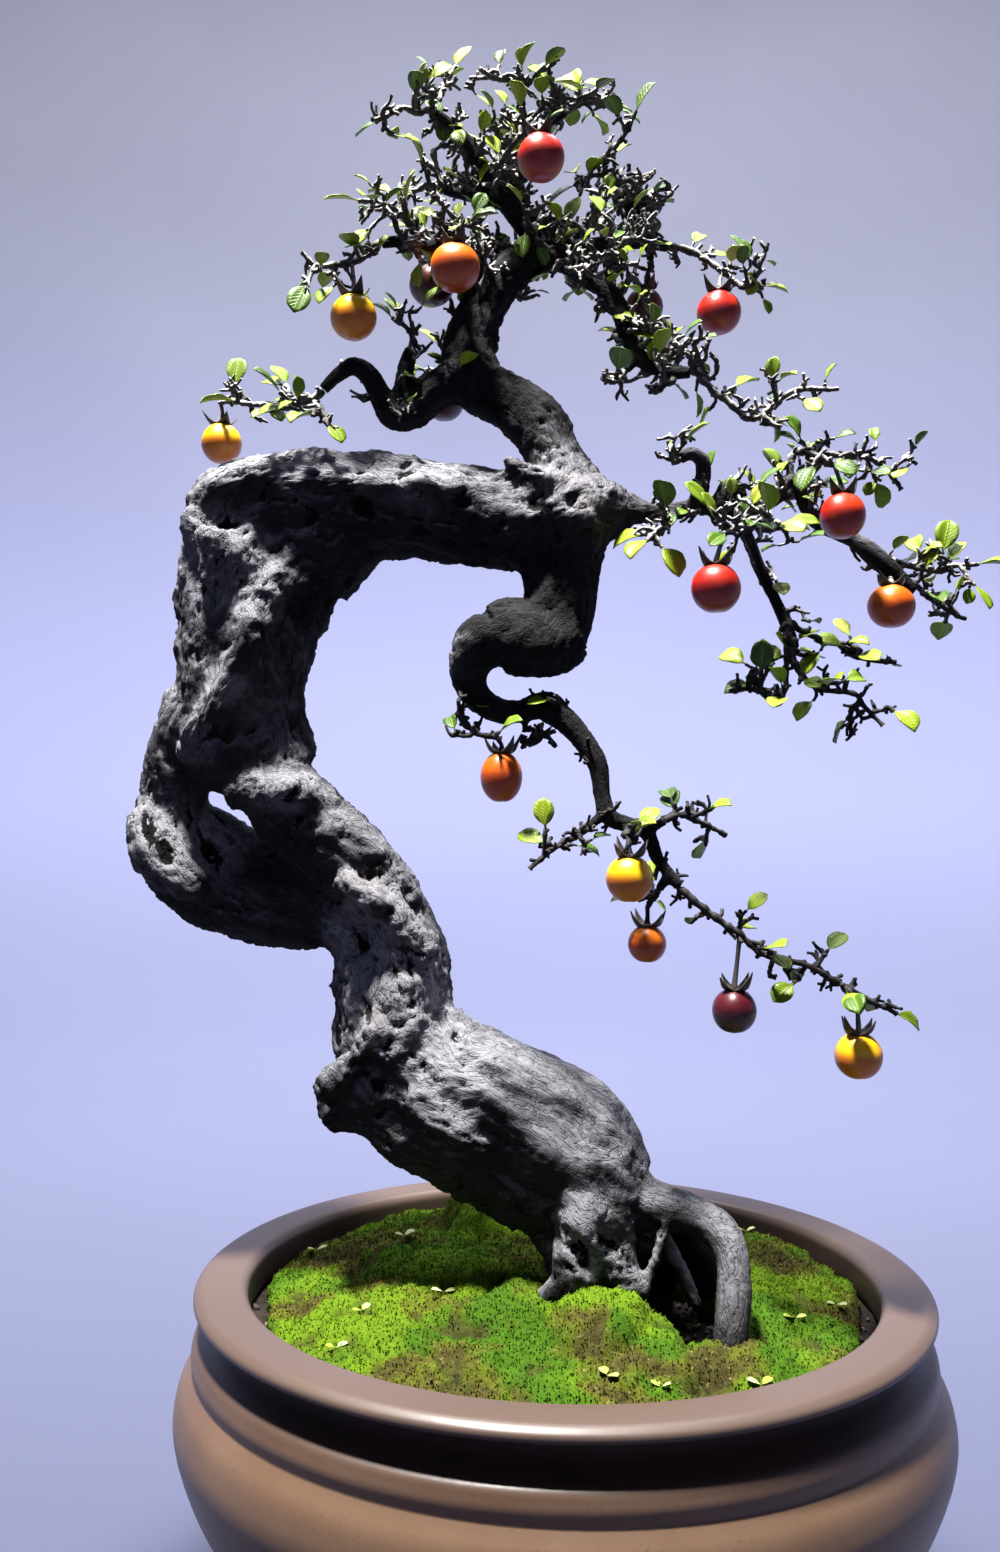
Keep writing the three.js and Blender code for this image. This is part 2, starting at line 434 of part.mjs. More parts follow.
// Stalk and calyx of a fruit: a four-pointed star with its lobes swept up
function calyxSolids({ from, at, tall }) {
  const base = new THREE.Vector3(at[0], at[1], at[2] + tall / 2 + SPUR_GAP);
  const rim = [];
  for (let k = 0; k < 8; k++) {
    const angle = (k * Math.PI) / 4 + 0.6;
    const reach = k % 2 === 0 ? CALYX_LOBE : CALYX_RADIUS;
    const lift = k % 2 === 0 ? 3.4 : 0.8;
    rim.push(new THREE.Vector3(Math.cos(angle) * reach, Math.sin(angle) * reach, lift).add(base));
  }
  const points = [base, base.clone().add(new THREE.Vector3(0, 0, CALYX_HEIGHT)), ...rim];
  const faces = rim.flatMap((_, k) => {
    const here = 2 + k;
    const next = 2 + ((k + 1) % 8);
    return [[0, next, here], [1, here, next]];
  });
  const stalk = sweep([[base.x, base.y, base.z + 0.7, 1.3], [...from, 1]], 4);
  return [toSolid(closedGeometry(points, faces)), stalk];
}

function fruitGeometry({ wide, tall, at }) {
  const fruit = new THREE.SphereGeometry(0.5, 8, 6);
  fruit.rotateX(Math.PI / 2);
  fruit.scale(wide, wide, tall);
  fruit.translate(...at);
  fruit.deleteAttribute('normal');
  fruit.deleteAttribute('uv');
  const merged = mergeVertices(fruit, 1e-4);
  merged.computeVertexNormals();
  return merged;
}

// A turned form from radius and height pairs
function turned(profile) {
  const shape = new THREE.LatheGeometry(profile.map(([r, z]) => new THREE.Vector2(r, z)), POT_FACETS);
  shape.rotateX(Math.PI / 2);
  return toSolid(shape);
}

function potSolid() {
  const profile = [
    [0, 0], [FOOT_RADIUS, 0], [150, 17], [177, 53], [190, 74], [BELLY_RADIUS, 103], [197, 122],
    [190, 132], [191, 138], [189.5, 145], [176, 152], [172, 159], [184, 161], [RIM_RADIUS, 164], [RIM_RADIUS, 167],
    [186, RIM_HEIGHT], [166, RIM_HEIGHT], [163, 167], [162, 152], [180, 122], [185, 102], [176, 72],
    [126, 17], [0, 17], [0, 0],
  ];
  const holes = [0, 1, 2].map((k) => {
    const angle = (k * Math.PI * 2) / 3 + Math.PI / 2;
    const hole = new THREE.CylinderGeometry(DRAIN_RADIUS, DRAIN_RADIUS, 24, 16);
    hole.rotateX(Math.PI / 2);
    hole.translate(Math.cos(angle) * DRAIN_CIRCLE, Math.sin(angle) * DRAIN_CIRCLE, 9);
    return toSolid(hole);
  });
  return holes.reduce((pot, hole) => pot.subtract(hole), turned(profile));
}

function soilSolid() {
  const gap = SOIL_GAP * 1.4;
  const profile = [
    [0, 17 + SOIL_GAP], [126 - gap, 17 + SOIL_GAP], [176 - gap, 72], [185 - gap, 102],
    [180 - gap, 122], [163 - gap, SOIL_TOP], [0, SOIL_TOP], [0, 17 + SOIL_GAP],
  ];
  const soil = turned(profile);
  return ROOTS.reduce((left, { at }) => left.subtract(rootHole(at[at.length - 1])), soil);
}

// Clumps of the moss carpet: x, y, radius and height
const MOSS_CLUMPS = [[16, -88, 24, 10], [42, -106, 24, 9], [-34, 66, 34, 12], [-30, -60, 30, 6], [96, -44, 26, 5]];

function mossHeight(x, y) {
  const out = Math.hypot(x, y) / MOSS_RADIUS;
  let height = MOSS_EDGE + (MOSS_CROWN - MOSS_EDGE) * (1 - out * out) + 0.02 * y;
  const pick = seeded(7);
  const scattered = [];
  for (let k = 0; k < 21; k++) {
    const angle = pick() * Math.PI * 2;
    const away = Math.sqrt(pick()) * 140;
    scattered.push([Math.cos(angle) * away, Math.sin(angle) * away, 16 + pick() * 14, 3 + pick() * 4]);
  }
  [...MOSS_CLUMPS, ...scattered].forEach(([cx, cy, radius, rise]) => {
    const near = 1 - ((x - cx) ** 2 + (y - cy) ** 2) / (radius * radius);
    if (near > 0) height += rise * Math.sqrt(near) * (1 - out ** 6);
  });
  return SOIL_TOP + SOIL_GAP + height;
}

function mossSolid() {
  const rings = [22, 44, 65, 85, 104, 122, 140, MOSS_RADIUS];
  const sides = 30;
  const points = [new THREE.Vector3(0, 0, mossHeight(0, 0))];
  rings.forEach((ring, i) => {
    for (let j = 0; j < sides; j++) {
      const angle = ((j + (i % 2) / 2) / sides) * Math.PI * 2;
      const r = i === rings.length - 1 ? ring + 2 * Math.sin(5 * angle) + 1.5 * Math.sin(9 * angle) : ring;
      const x = Math.cos(angle) * r;
      const y = Math.sin(angle) * r;
      points.push(new THREE.Vector3(x, y, mossHeight(x, y)));
    }
  });
  const skirt = points.length;
  points.slice(skirt - sides).forEach((p) => points.push(new THREE.Vector3(p.x, p.y, SOIL_TOP + SOIL_GAP)));
  const faces = [];
  const row = (i, j) => 1 + i * sides + (j % sides);
  for (let j = 0; j < sides; j++) faces.push([0, row(0, j), row(0, j + 1)]);
  for (let i = 0; i < rings.length - 1; i++) {
    const shift = i % 2;
    for (let j = 0; j < sides; j++) {
      faces.push([row(i, j), row(i + 1, j + shift), row(i, j + 1)]);
      faces.push([row(i, j + 1), row(i + 1, j + shift), row(i + 1, j + shift + 1)]);
    }
  }
  for (let j = 0; j < sides; j++) {
    const a = row(rings.length - 1, j);
    const b = row(rings.length - 1, j + 1);
    faces.push([a, a + sides, b], [b, a + sides, b + sides]);
  }
  for (let j = 1; j < sides - 1; j++) faces.push([skirt, skirt + j + 1, skirt + j]);
  return toSolid(closedGeometry(points, faces)).subtract(rootOpening());
}

// Bare ground round the roots
function rootOpening() {
  const outline = [[-8, -34], [2, -46], [18, -52], [40, -66], [58, -90], [70, -103], [84, -104], [96, -92],
    [94, -70], [84, -40], [70, -4], [60, 14], [36, 18], [8, 2], [-6, -14]];
  const shape = new THREE.Shape(outline.map(([x, y]) => new THREE.Vector2(x, y)));
  const cut = new THREE.ExtrudeGeometry(shape, { depth: 80, bevelEnabled: false });
  cut.translate(0, 0, SOIL_TOP - 10);
  return toSolid(cut);
}

function piece(name, geometry, material) {
  const mesh = new THREE.Mesh(geometry, material);
  mesh.name = name;
  return mesh;
}

const group = new THREE.Group();
group.name = 'diospyros_bonsai';
group.add(piece('pot', toGeometry(potSolid()), CLAY));
group.add(piece('soil', toGeometry(soilSolid()), SOIL));
group.add(piece('moss', toGeometry(mossSolid()), MOSS));
group.add(piece('trunk', toGeometry(trunkSolid()), BARK));
Object.entries(SPRAYS).forEach(([name, spec]) => {
  const carried = FRUITS.filter((fruit) => fruit.on === name).flatMap(calyxSolids);
  group.add(piece(`spray_${name}`, toGeometry(fuse([...spraySolids(spec), ...carried])), TWIG_AND_LEAF));
});
FRUITS.forEach((fruit, i) => {
  group.add(piece(`fruit_${i + 1}`, fruitGeometry(fruit), FRUIT_SKINS[fruit.skin]));
});

export default group;
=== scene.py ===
import math

import bmesh
import bpy
from mathutils import Matrix, Vector, kdtree, noise


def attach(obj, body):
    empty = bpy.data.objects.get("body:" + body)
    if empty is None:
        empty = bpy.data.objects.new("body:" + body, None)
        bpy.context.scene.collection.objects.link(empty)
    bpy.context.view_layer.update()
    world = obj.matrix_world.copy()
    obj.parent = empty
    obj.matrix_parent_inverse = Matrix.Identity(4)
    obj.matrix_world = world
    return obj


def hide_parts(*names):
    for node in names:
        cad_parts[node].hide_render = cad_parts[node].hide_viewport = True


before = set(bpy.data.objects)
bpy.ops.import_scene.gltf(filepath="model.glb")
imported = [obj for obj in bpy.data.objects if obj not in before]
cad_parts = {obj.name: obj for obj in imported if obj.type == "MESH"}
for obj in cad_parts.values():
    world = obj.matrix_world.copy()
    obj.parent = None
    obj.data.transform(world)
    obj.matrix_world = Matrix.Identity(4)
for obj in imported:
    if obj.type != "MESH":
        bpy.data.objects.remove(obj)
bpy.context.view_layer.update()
mm = 0.001  # the tables are in millimetres, Blender works in metres
up = Vector((0, 0, 1))
noise.seed_set(5)  # noise_vector would follow the clock otherwise
print("frame loaded")


def deselectAll():
    if bpy.context.object and bpy.context.object.mode != "OBJECT":
        bpy.ops.object.mode_set(mode="OBJECT")
    bpy.ops.object.select_all(action="DESELECT")


def pickOnly(*pieces):
    deselectAll()
    for piece in pieces:
        piece.select_set(True)
    bpy.context.view_layer.objects.active = pieces[0]


def finishWith(piece, kind, **settings):
    pickOnly(piece)
    modifier = piece.modifiers.new(kind.title(), kind)
    for setting, value in settings.items():
        setattr(modifier, setting, value)
    bpy.ops.object.modifier_apply(modifier=modifier.name)


def settle(piece, name):
    # place, turn and size go into the mesh, and the object stays at the origin
    pickOnly(piece)
    bpy.ops.object.transform_apply(location=True, rotation=True, scale=True)
    piece.name = piece.data.name = name
    return piece


def smoothFaces(piece, degrees=None):
    pickOnly(piece)
    if degrees is None:
        bpy.ops.object.shade_smooth()
    else:
        bpy.ops.object.shade_smooth_by_angle(angle=math.radians(degrees))


def dress(piece, material, slot, *nodes):
    # the finish, the body and the CAD nodes that the piece stands for
    piece.data.materials.clear()
    piece.data.materials.append(material)
    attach(piece, "root")
    if nodes:
        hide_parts(*nodes)
    return piece


def meshPiece(name, points, faces, values=None, uvs=None):
    # points in millimetres; values are one number a point, uvs one pair a point
    mesh = bpy.data.meshes.new(name)
    mesh.from_pydata([tuple(point * mm) for point in points], [], faces)
    mesh.update()
    for attribute, numbers in (values or {}).items():
        mesh.attributes.new(attribute, "FLOAT", "POINT").data.foreach_set("value", numbers)
    if uvs:
        layer = mesh.uv_layers.new(name="UVMap")
        flat = [part for loop in mesh.loops for part in uvs[loop.vertex_index]]
        layer.data.foreach_set("uv", flat)
    piece = bpy.data.objects.new(name, mesh)
    bpy.context.collection.objects.link(piece)
    return piece


class SeededDraw:
    def __init__(self, seed):
        self.state = seed

    def number(self):
        self.state = (self.state * 1664525 + 1013904223) % 2**32
        return self.state / 2**32

    def between(self, low, high):
        return low + (high - low) * self.number()

    def direction(self):
        turn = self.between(0, 2 * math.pi)
        rise = self.between(-1, 1)
        flat = math.sqrt(1 - rise * rise)
        return Vector((math.cos(turn) * flat, math.sin(turn) * flat, rise))


def smoothStep(low, high, value):
    share = min(1, max(0, (value - low) / (high - low)))
    return share * share * (3 - 2 * share)


def smoothPath(stations, step):
    # places [x, y, z, radius] closer together, on a curve through the stations
    known = [Vector(station) for station in stations]
    known = [known[0] * 2 - known[1], *known, known[-1] * 2 - known[-2]]
    path = []
    for before, here, ahead, after in zip(known, known[1:], known[2:], known[3:]):
        parts = max(1, round((ahead - here).to_3d().length / step))
        for part in range(parts):
            t = part / parts
            path.append(0.5 * (2 * here + (ahead - before) * t
                               + (2 * before - 5 * here + 4 * ahead - after) * t**2
                               + (3 * here - before - 3 * ahead + after) * t**3))
    return path + [known[-2]]


def tubes(name, strands, roundness):
    # each strand is a list of (place, radius) in millimetres
    curve = bpy.data.curves.new(name, "CURVE")
    curve.dimensions = "3D"
    curve.bevel_depth = mm
    curve.bevel_resolution = roundness
    curve.use_fill_caps = True
    for strand in strands:
        spline = curve.splines.new("POLY")
        spline.points.add(len(strand) - 1)
        for point, (place, radius) in zip(spline.points, strand):
            point.co = (*(place * mm), 1)
            point.radius = radius
    piece = bpy.data.objects.new(name, curve)
    bpy.context.collection.objects.link(piece)
    pickOnly(piece)
    bpy.ops.object.convert(target="MESH")
    piece = bpy.context.object
    piece.name = piece.data.name = name
    return piece


# Camera, lights and the plain stage
stageLook = {
    # the eye in mm, the turns in degrees, the lens in mm and the wall in metres
    "eye": (0, -723.14, 406.36), "pitch": 1.88, "yaw": 2.78, "roll": 0.56, "lens": 31.31,
    "wallRadius": 3.2, "wallHeight": 5.0, "wallBevel": 1.2, "pool": 38, "poolEdge": 0.7,
    "floor": (0.44, 0.46, 0.64), "wallLow": (0.56, 0.58, 0.80), "wallHighShade": (0.28, 0.28, 0.33),
}
lamps = {
    "key": dict(kind="SPOT", at=(-0.36, -0.36, 2.45), aim=(-0.01, -0.03, 0.40), size=0.12, power=860,
                colour=(1.0, 0.97, 0.93)),
    "wash": dict(kind="AREA", at=(0.0, 1.1, 2.7), aim=(0, 2.5, 0.2), size=2.0, power=105,
                 colour=(0.86, 0.88, 1.0)),
    "fill": dict(kind="AREA", at=(0.5, -1.9, 0.7), aim=(0, 0, 0.2), size=1.2, power=0.7,
                 colour=(0.92, 0.93, 1.0)),
}


def addCamera(look):
    bpy.ops.object.camera_add(location=Vector(look["eye"]) * mm)
    camera = bpy.context.object
    turn = (Matrix.Rotation(math.radians(look["yaw"]), 4, "Z")
            @ Matrix.Rotation(math.radians(90 + look["pitch"]), 4, "X")
            @ Matrix.Rotation(math.radians(look["roll"]), 4, "Z"))
    camera.matrix_world = Matrix.Translation(camera.location) @ turn
    camera.data.sensor_fit = "VERTICAL"
    camera.data.sensor_height = 36
    camera.data.lens = look["lens"]
    camera.data.clip_start = 0.01
    bpy.context.scene.camera = camera


def addLamp(name, kind, at, aim, size, power, colour):
    bpy.ops.object.light_add(type=kind, location=at)
    lamp = bpy.context.object
    lamp.name = lamp.data.name = name
    lamp.rotation_euler = (Vector(aim) - Vector(at)).to_track_quat("-Z", "Y").to_euler()
    lamp.data.energy = power
    lamp.data.color = colour
    if kind == "SPOT":  # a soft-edged pool that takes in the tree and its pot
        lamp.data.shadow_soft_size = size
        lamp.data.spot_size = math.radians(stageLook["pool"])
        lamp.data.spot_blend = stageLook["poolEdge"]
    else:
        lamp.data.size = size


class Field:
    # a value or colour that varies over a surface; arithmetic on it adds Math nodes
    def __init__(self, finish, socket):
        self.finish = finish
        self.socket = socket

    def maths(self, operation, *values):
        inputs = {place: value for place, value in enumerate(values)}
        return self.finish.node("ShaderNodeMath", {"operation": operation}, inputs)

    def __add__(self, other):
        return self.maths("ADD", self, other)

    def __radd__(self, other):
        return self.maths("ADD", other, self)

    def __sub__(self, other):
        return self.maths("SUBTRACT", self, other)

    def __rsub__(self, other):
        return self.maths("SUBTRACT", other, self)

    def __mul__(self, other):
        return self.maths("MULTIPLY", self, other)

    def __rmul__(self, other):
        return self.maths("MULTIPLY", other, self)

    def magnitude(self):
        return self.maths("ABSOLUTE", self)

    def rise(self, low, high):
        # 0 below low, 1 above high and a soft ramp between them
        settings = {"interpolation_type": "SMOOTHSTEP"}
        inputs = {"Value": self, "From Min": low, "From Max": high}
        return self.finish.node("ShaderNodeMapRange", settings, inputs)


class Finish:
    # a material that is built up from Fields
    def __init__(self, name):
        self.material = bpy.data.materials.new(name)
        self.material.use_nodes = True
        self.tree = self.material.node_tree
        self.tree.nodes.clear()
        self.output = self.tree.nodes.new("ShaderNodeOutputMaterial")
        self.place = self.node("ShaderNodeTexCoord", {}, {}, "Object")

    def node(self, kind, settings, inputs, output=0):
        node = self.tree.nodes.new(kind)
        for setting, value in settings.items():
            setattr(node, setting, value)
        for name, value in inputs.items():
            if isinstance(value, Field):
                self.tree.links.new(value.socket, node.inputs[name])
            else:
                node.inputs[name].default_value = value
        return Field(self, node.outputs[output])

    def grain(self, scale, detail=4, roughness=0.55, place=None):
        # noise with that many bumps a metre
        inputs = {"Vector": place or self.place, "Scale": scale, "Detail": detail,
                  "Roughness": roughness}
        return self.node("ShaderNodeTexNoise", {}, inputs, "Fac")

    def cells(self, scale, feature="F1", place=None):
        inputs = {"Vector": place or self.place, "Scale": scale, "Randomness": 1.0}
        return self.node("ShaderNodeTexVoronoi", {"feature": feature}, inputs, "Distance")

    def stretched(self, scale, turn=(0, 0, 0), place=None):
        inputs = {"Vector": place or self.place, "Scale": scale, "Rotation": turn}
        return self.node("ShaderNodeMapping", {}, inputs)

    def part(self, axis, place=None):
        # one number of a place, in metres unless the place is a UV
        return self.node("ShaderNodeSeparateXYZ", {}, {"Vector": place or self.place}, axis)

    def attribute(self, name, output="Fac"):
        return self.node("ShaderNodeAttribute", {"attribute_name": name}, {}, output)

    def mix(self, share, first, second, blend="MIX"):
        # colours are tuples of three or Fields
        settings = {"data_type": "RGBA", "blend_type": blend}
        inputs = {0: share}
        for place, colour in ((6, first), (7, second)):
            inputs[place] = colour if isinstance(colour, Field) else (*colour, 1)
        return self.node("ShaderNodeMix", settings, inputs, 2)

    def bump(self, height, distance, strength=1.0):
        inputs = {"Height": height, "Distance": distance * mm, "Strength": strength}
        return self.node("ShaderNodeBump", {}, inputs)

    def surface(self, **sockets):
        inputs = {name.replace("_", " "): value for name, value in sockets.items()}
        for name in ("Base Color", "Specular Tint"):
            if isinstance(inputs.get(name), tuple):
                inputs[name] = (*inputs[name], 1)
        shader = self.node("ShaderNodeBsdfPrincipled", {}, inputs)
        self.tree.links.new(shader.socket, self.output.inputs["Surface"])
        return self.material


def facingUp(finish):
    # 1 where the surface faces up, 0 where it faces sideways or down
    return finish.part("Z", finish.node("ShaderNodeNewGeometry", {}, {}, "Normal"))


def stageFinish(look):
    finish = Finish("pale_wall")
    height = finish.part("Z")
    tone = finish.mix(height.rise(0.0, 0.5), look["floor"], look["wallLow"])
    # the wall grows darker towards its top: painted shade, a fall-off of light painted into the wall
    tone = finish.mix(height.rise(0.5, 2.2), tone, look["wallHighShade"])
    cloudy = finish.mix(finish.grain(1.2) * 0.12, tone, (1, 1, 1))
    return finish.surface(Base_Color=cloudy, Roughness=0.9)


def addStage(look):
    # a round studio sweep: floor, soft bend and wall all round
    deselectAll()
    tall = look["wallHeight"]
    bpy.ops.mesh.primitive_cylinder_add(vertices=96, radius=look["wallRadius"], depth=tall,
                                        end_fill_type="NGON", location=(0, 0, tall / 2))
    sweep = settle(bpy.context.object, "sweep")
    shape = bmesh.new()
    shape.from_mesh(sweep.data)
    lid = [face for face in shape.faces if face.normal.z > 0.9]
    bmesh.ops.delete(shape, geom=lid, context="FACES_ONLY")
    corner = [edge for edge in shape.edges if all(abs(v.co.z) < 1e-5 for v in edge.verts)]
    bmesh.ops.bevel(shape, geom=corner, offset=look["wallBevel"], segments=14, profile=0.5,
                    affect="EDGES")
    bmesh.ops.reverse_faces(shape, faces=shape.faces)
    shape.to_mesh(sweep.data)
    shape.free()
    smoothFaces(sweep)
    sweep.data.materials.append(stageFinish(look))
    # the key lights the tree alone, so that the floor throws no light up under the wood
    spared = bpy.data.collections.new("not_under_the_key")
    spared.objects.link(sweep)
    bpy.data.objects["key"].light_linking.receiver_collection = spared
    spared.collection_objects[0].light_linking.link_state = "EXCLUDE"


addCamera(stageLook)
for lampName, lampLook in lamps.items():
    addLamp(lampName, **lampLook)
addStage(stageLook)
bpy.context.scene.view_settings.view_transform = "Standard"
world = bpy.context.scene.world or bpy.data.worlds.new("World")
bpy.context.scene.world = world
world.use_nodes = True
world.node_tree.nodes["Background"].inputs["Color"].default_value = (0.72, 0.76, 1.0, 1)
world.node_tree.nodes["Background"].inputs["Strength"].default_value = 0.03
print("camera, lamps and stage ready")

# Pot: turned clay with a rolled rim, a waist, a bead and a full belly
potLook = {
    # radius, height and how far each corner is rounded, mm
    "profile": [(0, 0, 0), (134, 0, 3), (150, 17, 14), (177, 53, 18), (190, 74, 14), (200, 103, 16),
                (197, 122, 9), (190, 132, 1.0), (191, 138, 2.4), (189.5, 145, 2.4), (176, 152, 4),
                (172, 159, 3), (184, 161, 1), (190, 164, 1.6), (190, 167, 1.6), (186, 170, 2.4),
                (166, 170, 2), (163, 167, 2), (162, 152, 4), (180, 122, 6), (185, 102, 10),
                (176, 72, 14), (126, 17, 4), (0, 17, 0)],
    "steps": 144, "drains": 3, "drainRadius": 9, "drainCircle": 60,
    "clay": (0.138, 0.079, 0.045), "dark": (0.030, 0.018, 0.016), "dusty": (0.180, 0.114, 0.073),
    "rim": (0.085, 0.059, 0.048),
}


def roundedProfile(corners):
    points = [Vector(corners[0][:2])]
    for before, here, after in zip(corners, corners[1:], corners[2:]):
        corner, reach = Vector(here[:2]), here[2]
        toBefore = Vector(before[:2]) - corner
        toAfter = Vector(after[:2]) - corner
        first = corner + toBefore.normalized() * min(reach, toBefore.length * 0.45)
        last = corner + toAfter.normalized() * min(reach, toAfter.length * 0.45)
        for part in range(5):
            t = part / 4
            points.append(first.lerp(corner, t).lerp(corner.lerp(last, t), t))
    points.append(Vector(corners[-1][:2]))
    return points


def clayFinish(look):
    finish = Finish("satin_clay")
    mottle = finish.grain(14, 5, 0.6)
    speck = finish.grain(420, 3, 0.7)
    wheel = finish.grain(90, 2, 0.4, finish.stretched((0.02, 0.02, 1)))
    tone = finish.mix(mottle.rise(0.3, 0.72) * 0.55, look["clay"], look["dusty"])
    tone = finish.mix(speck.rise(0.58, 0.72) * 0.35, tone, look["dark"])
    tone = finish.mix(wheel.rise(0.35, 0.75) * 0.18, tone, look["dark"])
    height = finish.part("Z")
    tone = finish.mix(height.rise(0.160, 0.164) * 0.8, tone, look["rim"])
    neckShade = height.rise(0.139, 0.148) * (1 - height.rise(0.163, 0.1665))  # painted shade: the neck band under the lip, down over the bead, is coloured dark
    tone = finish.mix(neckShade * 0.85, tone, look["dark"])
    relief = finish.bump(wheel * 0.6 + speck * 0.25 + mottle * 0.6, 0.35, 0.5)
    return finish.surface(Base_Color=tone, Roughness=0.30 + speck * 0.16 + mottle * 0.12,
                          Normal=relief, Coat_Weight=0.12, Coat_Roughness=0.25)


def makePot(look):
    deselectAll()
    bpy.ops.mesh.primitive_plane_add(size=mm)
    pot = bpy.context.object
    outline = bmesh.new()
    corners = [outline.verts.new((x * mm, 0, z * mm)) for x, z in roundedProfile(look["profile"])]
    for first, second in zip(corners, corners[1:]):
        outline.edges.new((first, second))
    outline.to_mesh(pot.data)
    outline.free()
    pickOnly(pot)
    bpy.ops.object.mode_set(mode="EDIT")
    bpy.ops.mesh.select_all(action="SELECT")
    bpy.ops.mesh.spin(steps=look["steps"], angle=2 * math.pi, center=(0, 0, 0), axis=(0, 0, 1))
    bpy.ops.mesh.select_all(action="SELECT")
    bpy.ops.mesh.remove_doubles(threshold=0.00002)
    bpy.ops.mesh.normals_make_consistent(inside=False)
    bpy.ops.object.mode_set(mode="OBJECT")
    away = look["drainCircle"] * mm
    for hole in range(look["drains"]):
        turn = hole * 2 * math.pi / look["drains"] + math.pi / 2
        middle = (math.cos(turn) * away, math.sin(turn) * away, 9 * mm)
        deselectAll()
        bpy.ops.mesh.primitive_cylinder_add(vertices=40, radius=look["drainRadius"] * mm,
                                            depth=24 * mm, location=middle)
        drill = bpy.context.object
        finishWith(pot, "BOOLEAN", operation="DIFFERENCE", object=drill, solver="EXACT")
        bpy.data.objects.remove(drill)
    settle(pot, "clay_pot")
    smoothFaces(pot, 32)
    dress(pot, clayFinish(look), "clay", "pot")


makePot(potLook)
print("pot turned")

# Ground: the soil of the CAD model, with grit on it where the moss leaves it bare
groundLook = {
    "seed": 91, "grit": 900, "size": (1.0, 2.6), "top": 150.3, "rimBand": (146, 161),
    "bareSpot": (44, -42), "bareReach": (48, 64),
    "soil": (0.020, 0.014, 0.010), "stone": (0.16, 0.13, 0.11),
}
mossLook = {
    "radius": 156, "crown": 26, "edge": 8, "slope": 0.02, "soilTop": 150.3, "spacing": 1.25,
    "shoulder": 7, "lip": 2,
    # humps listed as x, y, reach and rise, and the smaller ones that a seed strews
    "clumps": [(16, -88, 24, 10), (42, -106, 24, 9), (-34, 66, 34, 12), (-30, -60, 30, 6), (96, -44, 26, 5),
              (82, -100, 20, 7)],
    "strewn": dict(seed=7, count=21, within=140, reach=(16, 30), rise=(3, 7)),
    "opening": [(-8, -34), (2, -46), (18, -52), (40, -64), (56, -80), (66, -84), (74, -78), (80, -66),
                (82, -40), (70, -4), (60, 14), (36, 18), (8, 2), (-6, -14)],
    # the spikes stand where the moss is higher in its cushions than a draw from bare
    "tufts": dict(seed=23, count=24000, bare=(0.1, 0.45), lean=0.55, tall=(0.9, 2.0), wide=(0.5, 0.85)),
    "lime": (0.155, 0.27, 0.009), "green": (0.062, 0.150, 0.006), "olive": (0.14, 0.13, 0.014),
    # gap is the near-black painted shade for the deepest creases
    "brown": (0.070, 0.045, 0.017), "straw": (0.32, 0.28, 0.11), "gap": (0.012, 0.009, 0.005),
    # x, y, reach and how dry (above 0) or how fresh (below 0) the moss is there
    "weather": [(-118, 30, 48, 0.9), (-96, -16, 34, 0.5), (-40, 40, 26, -1.0), (-70, -4, 30, -0.9),
                (-44, -34, 34, -0.9), (-100, -70, 34, -1.0), (-128, -40, 26, 0.5), (-62, -104, 28, 0.6),
                (-28, -122, 26, 0.9), (12, -84, 24, -0.9), (34, -92, 14, -0.7), (56, -126, 30, 0.9),
                (92, -100, 26, 0.6), (110, -20, 40, -0.6), (126, 30, 30, 0.6), (-20, -84, 16, 0.7)],
}


def strewnClumps(seed, count, within, reach, rise):
    draw = SeededDraw(seed)
    clumps = []
    for _ in range(count):
        angle = draw.number() * 2 * math.pi
        away = math.sqrt(draw.number()) * within
        clumps.append((math.cos(angle) * away, math.sin(angle) * away,
                       draw.between(*reach), draw.between(*rise)))
    return clumps


allClumps = mossLook["clumps"] + strewnClumps(**mossLook["strewn"])


def mossHeight(x, y):
    # the domes of the CAD carpet, and one more beside the arched root
    out = math.hypot(x, y) / mossLook["radius"]
    height = mossLook["edge"] + (mossLook["crown"] - mossLook["edge"]) * (1 - out * out)
    height += mossLook["slope"] * y
    for cx, cy, radius, rise in allClumps:
        near = 1 - ((x - cx) ** 2 + (y - cy) ** 2) / (radius * radius)
        if near > 0:
            height += rise * math.sqrt(near) * (1 - out**6)
    return mossLook["soilTop"] + height


def insideOutline(x, y, outline):
    inside = False
    for (ax, ay), (bx, by) in zip(outline, outline[1:] + outline[:1]):
        if (ay > y) != (by > y) and x < (bx - ax) * (y - ay) / (by - ay) + ax:
            inside = not inside
    return inside


def edgeDistance(x, y, outline):
    spot = Vector((x, y))
    best = 1e9
    for first, second in zip(outline, outline[1:] + outline[:1]):
        a, b = Vector(first), Vector(second)
        share = min(1, max(0, (spot - a).dot(b - a) / (b - a).length_squared))
        best = min(best, (spot - a.lerp(b, share)).length)
    return best


def cushion(x, y):
    # fine domes and crumbs of the moss, and how deep in a crease each place is
    spot = Vector((x, y, 0))
    drift = noise.noise_vector(spot * 0.05) * 5
    coarse = noise.voronoi((spot + drift) / 15)[0][0]
    fine = noise.voronoi((spot + drift) / 5.5)[0][0]
    crumbs = noise.turbulence(spot * 0.55, 3, False)
    dome = 6.2 * math.sqrt(max(0, 1 - (coarse / 0.8) ** 2))
    dome += 1.9 * math.sqrt(max(0, 1 - (fine / 0.8) ** 2))
    return dome + crumbs * 1.6 - 5.2, min(1, dome / 7.0 + 0.12 * crumbs)


